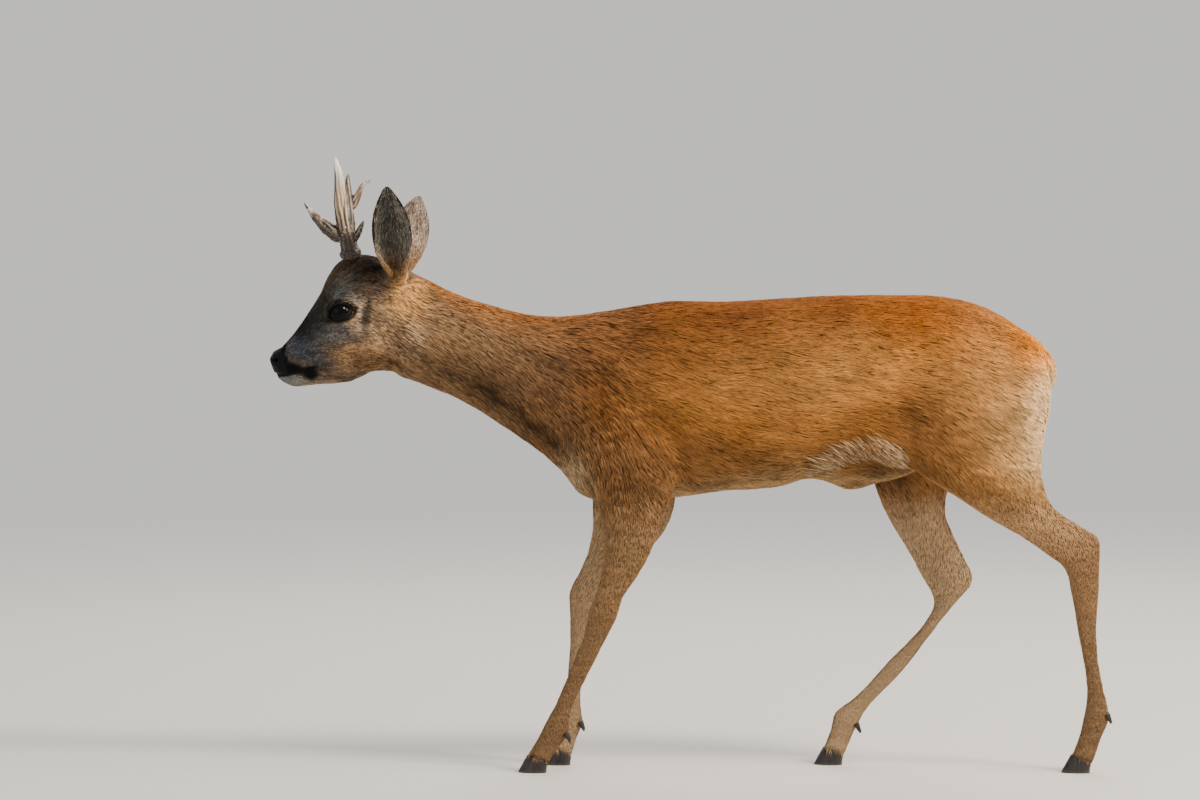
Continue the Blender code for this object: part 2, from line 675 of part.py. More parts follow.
def leg_guides():
    """Name the parts of each leg with a place near the middle of each."""
    guides = {}
    for name, sections, _ in LEGS:
        def between(first, last):
            rows = sections[first:last + 1]
            x = np.mean([(row.top[0] + row.bottom[0]) / 2 for row in rows])
            z = np.mean([(row.top[1] + row.bottom[1]) / 2 for row in rows])
            return np.array((x, sections[first].side, z))
        upper = 6 if name.startswith("hind") else 5
        guides[name + "_" + UPPER_NAME[name[:4]]] = between(upper, KNEE_ROW)
        guides[name + "_cannon"] = between(KNEE_ROW, FETLOCK_ROW)
        guides[name + "_pastern"] = between(FETLOCK_ROW, 15)
    return guides


def name_pieces(pieces):
    """Match each piece of the body with its name."""
    guides = leg_guides()
    guides["head"] = np.array((-505, 0, 655))
    guides["nose"] = np.array((-612, 0, 594))
    guides["neck"] = np.array((-310, 0, 590))
    guides["trunk"] = np.array((165, 0, 520))
    named = {}
    for piece in pieces:
        if len(named) == len(guides):
            piece.free()
            continue
        middle = bounds_middle(piece)
        free = [name for name in guides if name not in named]
        best = min(free, key=lambda name: np.linalg.norm(guides[name] - middle))
        named[best] = piece
    return named


def body_slot(name):
    """The material slot for one part of the body."""
    if name in ("head", "neck", "nose"):
        return {"head": "head_coat", "neck": "neck_coat", "nose": "nose_skin"}[name]
    if name == "trunk":
        return "coat"
    return "foot_coat" if name.endswith("pastern") else "leg_coat"


def dress(item, slot, used):
    """Give an object its own material."""
    colour, roughness, metallic = COLOURS[slot]
    label = slot if slot not in used else slot + "_" + item.name
    used.add(slot)
    material = bpy.data.materials.new(label)
    material.use_nodes = True
    shader = material.node_tree.nodes["Principled BSDF"]
    shader.inputs["Base Color"].default_value = (*colour, 1.0)
    shader.inputs["Roughness"].default_value = roughness
    shader.inputs["Metallic"].default_value = metallic
    material.diffuse_color = (*colour, 1.0)
    item.data.materials.clear()
    item.data.materials.append(material)
    if slot not in FLAT_SLOTS:
        item.data.polygons.foreach_set("use_smooth", [True] * len(item.data.polygons))


def triangulate(item):
    """Cut an object's faces into triangles."""
    shape = bmesh.new()
    shape.from_mesh(item.data)
    bmesh.ops.triangulate(shape, faces=shape.faces)
    bmesh.ops.recalc_face_normals(shape, faces=shape.faces)
    shape.to_mesh(item.data)
    shape.free()


def add_part(name, shape, collection):
    """Put a closed bmesh into the figure as a named part."""
    return make_object(name, mesh_from_bmesh(name, shape), collection)


def make_antler(side, beam, front, back, collection, cutters):
    """Make one antler as a beam with two tines that meet it."""
    whole = add_part("antler_" + side + "_beam", tube(beam, 8, 1), collection)
    pieces = [whole]
    for label, stations in (("front_tine", front), ("back_tine", back)):
        tine = add_part("antler_" + side + "_" + label, tube(stations, 7, 1), collection)
        cutter = make_object(
            "room_" + tine.name, mesh_from_bmesh("room", grown_copy(whole, GAP)), cutters)
        cut_away(tine, cutter)
        keep_largest(tine)
        pieces.append(tine)
    return pieces


def keep_largest(item):
    """Keep only the largest closed piece of an object."""
    whole = bmesh.new()
    whole.from_mesh(item.data)
    bmesh.ops.remove_doubles(whole, verts=whole.verts, dist=0.00001)
    pieces = split_islands(whole)
    whole.free()
    pieces[0].to_mesh(item.data)
    for piece in pieces:
        piece.free()


def eye_opening(sign):
    """Make the almond cutter that opens the lids over an eye."""
    shape = bmesh.new()
    bmesh.ops.create_icosphere(shape, subdivisions=2, radius=1.0)
    scale = Matrix.Diagonal((*[value * MM for value in EYE_OPENING], 1.0))
    spin = Matrix.Rotation(math.radians(EYE_OPENING_TURN), 4, "Y")
    place = Vector((EYE_MIDDLE[0], EYE_OPENING_OUT * sign, EYE_MIDDLE[2])) * MM
    bmesh.ops.transform(shape, matrix=Matrix.Translation(place) @ spin @ scale, verts=shape.verts)
    return shape


def eye_ball(sign, radius):
    """Make one eyeball."""
    shape = bmesh.new()
    bmesh.ops.create_uvsphere(shape, u_segments=14, v_segments=8, radius=radius * MM)
    place = Vector((EYE_MIDDLE[0], EYE_MIDDLE[1] * sign, EYE_MIDDLE[2])) * MM
    turn = Matrix.Rotation(math.radians(90), 4, "X")
    bmesh.ops.transform(shape, matrix=Matrix.Translation(place) @ turn, verts=shape.verts)
    return shape


def make_head_parts(head, collection, cutters):
    """Make the eyes, ears and antlers and cut their seats in the head."""
    parts = []
    for side, sign in SIDES:
        eye = add_part("eye_" + side, eye_ball(sign, EYE_RADIUS), collection)
        cut_with(head, eye_opening(sign), "opening_eye_" + side, cutters)
        cut_with(head, eye_ball(sign, EYE_RADIUS + GAP + 0.4), "room_eye_" + side, cutters)
        parts.append(eye)
    for side, (foot, tip, opening) in (("left", EAR_LEFT), ("right", EAR_RIGHT)):
        ear = add_part("ear_" + side, ear_shape(foot, tip, opening), collection)
        cut_with(head, grown_copy(ear, GAP + 0.5), "room_ear_" + side, cutters)
        parts.append(ear)
    parts += make_antler("left", BEAM_LEFT, FRONT_TINE_LEFT, BACK_TINE_LEFT, collection, cutters)
    parts += make_antler("right", BEAM_RIGHT, FRONT_TINE_RIGHT, BACK_TINE_RIGHT, collection, cutters)
    for item in parts:
        if item.name.startswith("antler"):
            cut_with(head, grown_copy(item, GAP + 0.1), "room_" + item.name + "_seat", cutters)
    keep_largest(head)
    return parts


def make_feet(named, collection, cutters):
    """Make the claws and dewclaws of every foot."""
    parts = []
    for name, sections, toe in LEGS:
        middle = sections[FETLOCK_ROW].side
        away = math.copysign(1.0, middle)
        for label, outward in (("outer", away), ("inner", -away)):
            claw = claw_shape(toe, middle, outward)
            parts.append(add_part(name + "_hoof_" + label, claw, collection))
            low = sections[FETLOCK_ROW].bottom
            dewclaw = dewclaw_shape((low[0] - 1.0, low[1] - 7.0), middle + outward * 8.5)
            item = add_part(name + "_dewclaw_" + label, dewclaw, collection)
            for piece in ("_cannon", "_pastern"):
                seat = "room_" + item.name + piece
                cut_with(named[name + piece], grown_copy(item, GAP), seat, cutters)
            parts.append(item)
        for piece in ("_cannon", "_pastern"):
            keep_largest(named[name + piece])
    return parts


def make_tail(trunk, collection, cutters):
    """Make the short tail and cut its seat in the rump."""
    tail = add_part("tail", loft_sections(TAIL, 10, 1), collection)
    cut_with(trunk, grown_copy(tail, GAP + 0.3), "room_tail", cutters)
    keep_largest(trunk)
    return tail


def centre_on_floor(items):
    """Move every part so the whole stands over the origin with its feet at z = 0."""
    low = np.full(3, np.inf)
    high = np.full(3, -np.inf)
    for item in items:
        places = np.array([vertex.co[:] for vertex in item.data.vertices])
        low = np.minimum(low, places.min(axis=0))
        high = np.maximum(high, places.max(axis=0))
    shift = Vector((-(low[0] + high[0]) / 2, -(low[1] + high[1]) / 2, -low[2]))
    for item in items:
        item.data.transform(Matrix.Translation(shift))
        item.data.update()
    return shift


def slot_of(item):
    """The material slot for a part that is not cut from the body."""
    for word, slot in (
            ("dewclaw", "dewclaw"), ("hoof", "hoof"), ("eye", "eye"), ("ear_", "ear_coat"),
            ("tine", "antler_tine"), ("antler", "antler"), ("tail", "tail_coat")):
        if word in item.name:
            return slot
    return body_slot(item.name)


def main():
    """Build the whole figure."""
    clear_scene()
    collection = make_collection(COLLECTION)
    cutters = make_collection("cutters")
    body = make_body(cutters)
    pieces = part_body(body)
    bpy.data.objects.remove(body, do_unlink=True)
    named = {name: add_part(name, piece, collection) for name, piece in pieces.items()}
    items = list(named.values())
    items += make_head_parts(named["head"], collection, cutters)
    items += make_feet(named, collection, cutters)
    items.append(make_tail(named["trunk"], collection, cutters))
    used = set()
    for item in items:
        triangulate(item)
        dress(item, slot_of(item), used)
    shift = centre_on_floor(items)
    print("moved by", tuple(round(value / MM, 2) for value in shift))
    for item in items:
        print(item.name, len(item.data.polygons))
    print("triangles in all", sum(len(item.data.polygons) for item in items), "parts", len(items))


main()
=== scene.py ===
"""A life-size roe buck: one skin with its coat, eyes, antlers and claws, around the solid frame."""

import logging
import math
from dataclasses import dataclass, field
from enum import Enum

import bpy
import numpy as np
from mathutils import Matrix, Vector
from mathutils.bvhtree import BVHTree


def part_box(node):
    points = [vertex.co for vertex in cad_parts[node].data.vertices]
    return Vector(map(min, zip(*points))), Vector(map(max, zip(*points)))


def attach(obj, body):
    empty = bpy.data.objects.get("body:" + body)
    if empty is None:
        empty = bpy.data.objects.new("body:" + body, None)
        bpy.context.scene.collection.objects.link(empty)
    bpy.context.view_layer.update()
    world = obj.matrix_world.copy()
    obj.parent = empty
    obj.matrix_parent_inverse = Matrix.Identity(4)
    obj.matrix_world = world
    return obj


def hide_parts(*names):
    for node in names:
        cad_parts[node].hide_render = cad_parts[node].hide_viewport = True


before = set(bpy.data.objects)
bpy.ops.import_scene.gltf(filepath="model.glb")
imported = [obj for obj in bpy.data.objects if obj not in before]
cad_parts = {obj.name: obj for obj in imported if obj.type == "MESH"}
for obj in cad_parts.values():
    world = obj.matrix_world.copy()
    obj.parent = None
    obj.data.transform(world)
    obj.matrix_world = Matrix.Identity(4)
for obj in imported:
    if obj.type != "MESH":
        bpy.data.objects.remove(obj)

LOG = logging.getLogger("roe_deer")
MM = 0.001
BODY = "root"
EYE_PLACE = (-520.5, -33.0, 665.5)
LEG_NAMES = ("foreleg_left", "foreleg_right", "hindleg_left", "hindleg_right")
LOWER_LEG = ("cannon", "pastern")
CLAW_SIDES = ("outer", "inner")
ANTLER_PARTS = ("beam", "front_tine", "back_tine")

# in millimetres from the figure's own zero point
HEAD_END = -395.0
LEG_TOP = 420.0
LEG_FADE = 90.0

# in metres
WELD = 2e-6
SIDE_MARGIN = 0.0009

# light values
BRIGHTEST = 0.95
DARKEST = 0.002


class Side(Enum):
    """The two sides of the animal, with the sign of their sideways place."""

    LEFT = -1.0
    RIGHT = 1.0

    @property
    def label(self) -> str:
        """Name of the side in piece names."""
        return self.name.lower()


def claw_nodes(leg: str, kind: str) -> tuple:
    """Names of a foot's two solid claws of one kind, "hoof" or "dewclaw"."""
    return tuple("%s_%s_%s" % (leg, kind, label) for label in CLAW_SIDES)


def paint(red: int, green: int, blue: int) -> np.ndarray:
    """Turn a colour as the eye names it, 0 to 255, into light values."""
    values = np.array([red, green, blue], float) / 255.0
    return np.where(values <= 0.04045, values / 12.92, ((values + 0.055) / 1.055) ** 2.4)


def plain(colour: tuple, count: int) -> np.ndarray:
    """The same colour for each of a number of places."""
    return np.repeat(paint(*colour)[None], count, axis=0)


def mixed(under: np.ndarray, over: np.ndarray, weight: np.ndarray) -> np.ndarray:
    """Go from one set of colours to another by a weight for each place."""
    return under + (over - under) * weight[:, None]


def blend(under: np.ndarray, colour: tuple, weight: np.ndarray) -> np.ndarray:
    """Lay one colour over others by a weight for each place."""
    return mixed(under, paint(*colour), weight)


def held(colours: np.ndarray) -> np.ndarray:
    """Colours kept under the brightest value without a change of hue."""
    peak = colours.max(axis=-1, keepdims=True)
    return np.maximum(colours * np.minimum(1.0, BRIGHTEST / peak), DARKEST)


def table_origin() -> np.ndarray:
    """Find where the figure's own zero point lies in the frame, from the left eye.

    Returns:
        The place in metres.
    """
    low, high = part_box("eye_left")
    middle = (np.array(low) + np.array(high)) / 2
    return middle - np.array(EYE_PLACE) * MM


ORIGIN = table_origin()


def to_table(points: np.ndarray) -> np.ndarray:
    """Turn places in the frame into millimetres from the figure's own zero point."""
    return (points - ORIGIN) / MM


def to_frame(points: np.ndarray) -> np.ndarray:
    """Turn millimetres from the figure's own zero point into places in the frame."""
    return np.asarray(points, float) * MM + ORIGIN


def unit(vectors: np.ndarray) -> np.ndarray:
    """Scale vectors to length one."""
    return vectors / np.maximum(np.linalg.norm(vectors, axis=-1, keepdims=True), 1e-12)


def along_surface(ways: np.ndarray, normals: np.ndarray, share: float = 1.0) -> np.ndarray:
    """Lay directions along a surface, fully or by a share."""
    return unit(ways - normals * (ways * normals).sum(axis=1, keepdims=True) * share)


def ramp(values: np.ndarray, start: float, end: float) -> np.ndarray:
    """Rise smoothly from 0 at start to 1 at end."""
    share = np.clip((values - start) / (end - start), 0.0, 1.0)
    return share * share * (3.0 - 2.0 * share)


def band(values: np.ndarray, low: float, high: float, soft: float) -> np.ndarray:
    """Stand at 1 between low and high, with soft shoulders."""
    return ramp(values, low - soft, low + soft) * (1.0 - ramp(values, high - soft, high + soft))


def sideways(normals: np.ndarray) -> np.ndarray:
    """Weight of the places that look to the side."""
    return ramp(np.abs(normals[:, 1]), 0.15, 0.6)


def on_legs(places: np.ndarray) -> np.ndarray:
    """Weight of the legs' smooth, even coat at places in millimetres."""
    return ramp(LEG_TOP - places[:, 2], 0, LEG_FADE)


@dataclass(frozen=True)
class Spot:
    """An oval area seen from the side, given in millimetres from the figure's zero point.

    Attributes:
        x: Place along the animal.
        z: Height.
        long: Half length.
        tall: Half height.
        turn: Turn in degrees, positive with the rear end up.
        edge: Softness of its edge, as a share of its size.
    """

    x: float
    z: float
    long: float
    tall: float
    turn: float = 0.0
    edge: float = 0.5

    def reach(self, points: np.ndarray) -> np.ndarray:
        """Distance from the middle as a share of the oval's size.

        Args:
            points: Places in millimetres.

        Returns:
            One value a point, 1 on the oval's line.
        """
        angle = math.radians(self.turn)
        along = points[:, 0] - self.x
        up = points[:, 2] - self.z
        first = along * math.cos(angle) + up * math.sin(angle)
        second = up * math.cos(angle) - along * math.sin(angle)
        return np.sqrt((first / self.long) ** 2 + (second / self.tall) ** 2)

    def weight(self, points: np.ndarray) -> np.ndarray:
        """Weight from 1 inside the oval to 0 outside."""
        return 1.0 - ramp(self.reach(points), 1.0 - self.edge, 1.0 + self.edge)

    def dome(self, points: np.ndarray) -> np.ndarray:
        """A soft dome that fades out past the oval's line."""
        return np.exp(-1.6 * self.reach(points) ** 2)


@dataclass(frozen=True)
class Waves:
    """Smooth noise made of crossing waves, about 1 in strength.

    Attributes:
        seed: Seed of its draws.
        size: Usual wave length in millimetres.
        stretch: Stretch of the waves along each axis.
        count: How many waves are added.
    """

    seed: int
    size: float
    stretch: tuple = (1.0, 1.0, 1.0)
    count: int = 16

    def at(self, points: np.ndarray) -> np.ndarray:
        """Read the noise.

        Args:
            points: Places in millimetres.

        Returns:
            One value a point.
        """
        draws = np.random.default_rng(self.seed)
        ways = unit(draws.normal(size=(self.count, 3))) * (2 * math.pi / self.size)
        ways = ways * draws.uniform(0.6, 1.7, (self.count, 1)) / np.array(self.stretch)
        phases = draws.uniform(0, 2 * math.pi, self.count)
        return np.sin(points @ ways.T + phases).sum(axis=1) / math.sqrt(self.count / 2)


def polyline_distance(points: np.ndarray, line: tuple) -> np.ndarray:
    """Distance from a line of (x, z) points, seen from the side.

    Args:
        points: Places in millimetres.
        line: The line's points.

    Returns:
        One distance in millimetres a point.
    """
    flat = points[:, [0, 2]]
    best = np.full(len(points), 1e9)
    for start, end in zip(line[:-1], line[1:]):
        start = np.array(start, float)
        way = np.array(end, float) - start
        share = np.clip((flat - start) @ way / (way @ way), 0.0, 1.0)
        near = start + share[:, None] * way
        best = np.minimum(best, np.linalg.norm(flat - near, axis=1))
    return best


# --- meshes ---


def link(name: str, data: bpy.types.ID) -> bpy.types.Object:
    """Put a mesh, a lamp or a camera into the scene as an object.

    Args:
        name: Name of the object.
        data: The mesh, lamp or camera.

    Returns:
        The object.
    """
    item = bpy.data.objects.new(name, data)
    bpy.context.scene.collection.objects.link(item)
    return item


def vertex_rows(mesh: bpy.types.Mesh, what: str) -> np.ndarray:
    """Read one row of three values from each vertex of a mesh.

    Args:
        mesh: The mesh.
        what: "co" for places or "normal" for normals.

    Returns:
        One row a vertex.
    """
    flat = np.empty(len(mesh.vertices) * 3)
    mesh.vertices.foreach_get(what, flat)
    return flat.reshape(-1, 3)


def mesh_points(mesh: bpy.types.Mesh) -> np.ndarray:
    """Read the places of a mesh's vertices."""
    return vertex_rows(mesh, "co")


def mesh_normals(mesh: bpy.types.Mesh) -> np.ndarray:
    """Read the normals of a mesh's vertices."""
    return vertex_rows(mesh, "normal")


def mesh_triangles(mesh: bpy.types.Mesh) -> np.ndarray:
    """Read a mesh's triangles.

    Args:
        mesh: The mesh.

    Returns:
        The vertex numbers of each triangle.
    """
    mesh.calc_loop_triangles()
    flat = np.empty(len(mesh.loop_triangles) * 3, np.int32)
    mesh.loop_triangles.foreach_get("vertices", flat)
    return flat.reshape(-1, 3)


def mesh_parts(mesh: bpy.types.Mesh) -> tuple:
    """Read a mesh's vertex places and its triangles."""
    return mesh_points(mesh), mesh_triangles(mesh)


def mesh_edges(mesh: bpy.types.Mesh) -> np.ndarray:
    """Read a mesh's edges.

    Args:
        mesh: The mesh.

    Returns:
        The vertex numbers of each edge.
    """
    flat = np.empty(len(mesh.edges) * 2, np.int32)
    mesh.edges.foreach_get("vertices", flat)
    return flat.reshape(-1, 2)


def set_points(mesh: bpy.types.Mesh, points: np.ndarray) -> None:
    """Write the places of a mesh's vertices."""
    mesh.vertices.foreach_set("co", np.ascontiguousarray(points, np.float32).ravel())
    mesh.update()


def stacked(parts: list) -> tuple:
    """Put the vertex places and triangles of several parts into one pair of arrays.

    Args:
        parts: Vertex places and triangles of each part.

    Returns:
        Vertex places and triangles of the whole.
    """
    starts = np.cumsum([0] + [len(points) for points, _ in parts])
    triangles = [faces + start for (_, faces), start in zip(parts, starts)]
    return np.concatenate([points for points, _ in parts]), np.concatenate(triangles)


def face_vectors(points: np.ndarray, triangles: np.ndarray) -> np.ndarray:
    """Outward vectors of triangles, each as long as twice its area."""
    corners = points[triangles]
    return np.cross(corners[:, 1] - corners[:, 0], corners[:, 2] - corners[:, 0])


def ring_faces(rings: int, steps: int, start: int = 0) -> list:
    """Join neighbouring closed rings of vertices with triangles.

    Args:
        rings: How many rings there are.
        steps: Vertices of one ring.
        start: Number of the first vertex.

    Returns:
        The vertex numbers of each triangle.
    """
    faces = []
    for a in range(start, start + (rings - 1) * steps, steps):
        b = a + steps
        for step in range(steps):
            after = (step + 1) % steps
            faces += [(a + step, b + step, b + after), (a + step, b + after, a + after)]
    return faces


def triangle_mesh(name: str, points: np.ndarray, triangles: np.ndarray) -> bpy.types.Mesh:
    """Make a mesh from arrays.

    Args:
        name: Name of the mesh.
        points: Vertex places in metres.
        triangles: Vertex numbers of each triangle.

    Returns:
        The mesh, shaded smooth.
    """
    mesh = bpy.data.meshes.new(name)
    count = len(triangles)
    mesh.vertices.add(len(points))
    mesh.vertices.foreach_set("co", np.ascontiguousarray(points, np.float32).ravel())
    mesh.loops.add(count * 3)
    mesh.loops.foreach_set("vertex_index", np.ascontiguousarray(triangles, np.int32).ravel())
    mesh.polygons.add(count)
    mesh.polygons.foreach_set("loop_start", np.arange(0, count * 3, 3, dtype=np.int32))
    mesh.polygons.foreach_set("use_smooth", np.ones(count, bool))
    mesh.update(calc_edges=True)
    mesh.validate()
    return mesh


def set_colours(mesh: bpy.types.Mesh, colours: np.ndarray) -> None:
    """Store one colour a vertex, where the finishes read it.

    Args:
        mesh: The mesh.
        colours: Light values, one row a vertex.
    """
    layer = mesh.color_attributes.new(name="coat", type="FLOAT_COLOR", domain="POINT")
    full = np.ones((len(colours), 4), np.float32)
    full[:, :3] = colours
    layer.data.foreach_set("color", full.ravel())


def set_values(mesh: bpy.types.Mesh, values: np.ndarray, name: str) -> None:
    """Store one value a vertex."""
    layer = mesh.attributes.new(name=name, type="FLOAT", domain="POINT")
    layer.data.foreach_set("value", np.ascontiguousarray(values, np.float32))


def baked(item: bpy.types.Object) -> bpy.types.Mesh:
    """Turn an object with its modifiers into a plain mesh and remove the object.

    Args:
        item: The object with its modifiers.

    Returns:
        The plain mesh.
    """
    graph = bpy.context.evaluated_depsgraph_get()
    mesh = bpy.data.meshes.new_from_object(item.evaluated_get(graph))
    bpy.data.objects.remove(item, do_unlink=True)
    return mesh


def welded_copy(mesh: bpy.types.Mesh, grow: float) -> tuple:
    """Copy a solid node with its loose triangles welded, grown a little.

    Args:
        mesh: The node's mesh.
        grow: How far it is grown, in metres.

    Returns:
        The copy's vertex places and triangles.
    """
    points, triangles = mesh_parts(mesh)
    keys = np.round(points / WELD).astype(np.int64)
    _, first, back = np.unique(keys, axis=0, return_index=True, return_inverse=True)
    points = points[first]
    triangles = back.reshape(-1)[triangles]
    faces = face_vectors(points, triangles)
    normals = np.zeros_like(points)
    for corner in range(3):
        for axis in range(3):
            normals[:, axis] += np.bincount(triangles[:, corner], faces[:, axis], minlength=len(points))
    return points + unit(normals) * grow, triangles


def copy_nodes(names: tuple, grow: float) -> bpy.types.Mesh:
    """Join copies of solid nodes, each grown by some metres so that thin gaps close."""
    return triangle_mesh("copy", *stacked([welded_copy(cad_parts[name].data, grow) for name in names]))


def joined(meshes: list) -> bpy.types.Mesh:
    """Put several meshes into one."""
    return triangle_mesh("joined", *stacked([mesh_parts(mesh) for mesh in meshes]))


def remeshed(mesh: bpy.types.Mesh, voxel: float) -> bpy.types.Mesh:
    """Rebuild a mesh as one even surface of small squares.

    Args:
        mesh: The closed mesh.
        voxel: Fineness in metres.

    Returns:
        The new mesh.
    """
    item = link("rebuild", mesh)
    step = item.modifiers.new("rebuild", "REMESH")
    step.mode = "VOXEL"
    step.voxel_size = voxel
    step.use_smooth_shade = True
    return baked(item)


def spread(values: np.ndarray, edges: np.ndarray, rounds: int, share: float = 0.5) -> np.ndarray:
    """Average values with their neighbours' along a mesh's edges.

    Args:
        values: One row a vertex.
        edges: The mesh's edges.
        rounds: How many times.
        share: How much of the neighbours' average is taken each time.

    Returns:
        The averaged values.
    """
    count = len(values)
    columns = values.reshape(count, -1).copy()
    degree = np.bincount(edges.ravel(), minlength=count).astype(float)
    degree = np.maximum(degree, 1.0)
    for _ in range(rounds):
        for column in range(columns.shape[1]):
            own = columns[:, column]
            total = np.bincount(edges[:, 0], own[edges[:, 1]], minlength=count)
            total += np.bincount(edges[:, 1], own[edges[:, 0]], minlength=count)
            columns[:, column] = own + share * (total / degree - own)
    return columns.reshape(values.shape)


def island_labels(count: int, edges: np.ndarray) -> np.ndarray:
    """Number the separate islands of a mesh by their lowest vertex.

    Args:
        count: How many vertices there are.
        edges: Vertex numbers of each edge.

    Returns:
        One number a vertex, the same all over an island.
    """
    labels = np.arange(count)
    while True:
        first = labels[edges[:, 0]]
        second = labels[edges[:, 1]]
        low = np.minimum(first, second)
        high = np.maximum(first, second)
        if np.array_equal(low, high):
            return labels
        np.minimum.at(labels, high, low)
        while not np.array_equal(labels, labels[labels]):
            labels = labels[labels]


class Surface:
    """A triangle surface held as arrays, with a search for its nearest point."""

    def __init__(self, points: np.ndarray, triangles: np.ndarray, normals: np.ndarray) -> None:
        """Store the surface and build its search tree.

        Args:
            points: Vertex places in metres.
            triangles: Vertex numbers of each triangle.
            normals: One outward unit vector a vertex.
        """
        self.points = points
        self.triangles = triangles
        self.normals = normals
        self.tree = BVHTree.FromPolygons(points.tolist(), triangles.tolist())

    def areas(self) -> np.ndarray:
        """Area of each triangle in square metres."""
        return np.linalg.norm(face_vectors(self.points, self.triangles), axis=1) / 2

    def nearest(self, places: np.ndarray) -> tuple:
        """Find the nearest point of the surface to each place.

        Args:
            places: Places in metres.

        Returns:
            The triangle numbers, and the shares of their three corners.
        """
        found = np.empty(len(places), np.int64)
        spots = np.empty((len(places), 3))
        for number, place in enumerate(places.tolist()):
            spots[number], _, found[number], _ = self.tree.find_nearest(place)
        corners = self.points[self.triangles[found]]
        first = corners[:, 1] - corners[:, 0]
        second = corners[:, 2] - corners[:, 0]
        offset = spots - corners[:, 0]
        d00 = (first * first).sum(1)
        d01 = (first * second).sum(1)
        d11 = (second * second).sum(1)
        d20 = (offset * first).sum(1)
        d21 = (offset * second).sum(1)
        scale = np.maximum(d00 * d11 - d01 * d01, 1e-20)
        share_1 = (d11 * d20 - d01 * d21) / scale
        share_2 = (d00 * d21 - d01 * d20) / scale
        return found, np.stack([1 - share_1 - share_2, share_1, share_2], axis=1)

    def read(self, values: np.ndarray, found: np.ndarray, shares: np.ndarray) -> np.ndarray:
        """Read vertex values at points of the surface.

        Args:
            values: One row a vertex.
            found: The triangle numbers.
            shares: The shares of their corners.

        Returns:
            The blended values.
        """
        corners = values[self.triangles[found]]
        if corners.ndim == 2:
            return (corners * shares).sum(axis=1)
        return (corners * shares[:, :, None]).sum(axis=1)

    def spots(self, found: np.ndarray, shares: np.ndarray) -> tuple:
        """Places in metres and outward unit vectors at points of the surface."""
        return self.read(self.points, found, shares), unit(self.read(self.normals, found, shares))


# --- markings, with painted shade and light ---


@dataclass(frozen=True)
class ColourPatch:
    """One patch of colour laid over an oval with a strength, used for markings and for painted shade and
    light.

    Attributes:
        colour: Its colour.
        spot: Its oval seen from the side.
        strength: How fully it covers what is there.
        sides: True where only faces that look sideways wear it.
    """

    colour: tuple
    spot: Spot
    strength: float = 1.0
    sides: bool = False

    def weight(self, points: np.ndarray, normals: np.ndarray) -> np.ndarray:
        """Weight of the marking at each point."""
        weight = self.spot.weight(points) * self.strength
        return weight * sideways(normals) if self.sides else weight


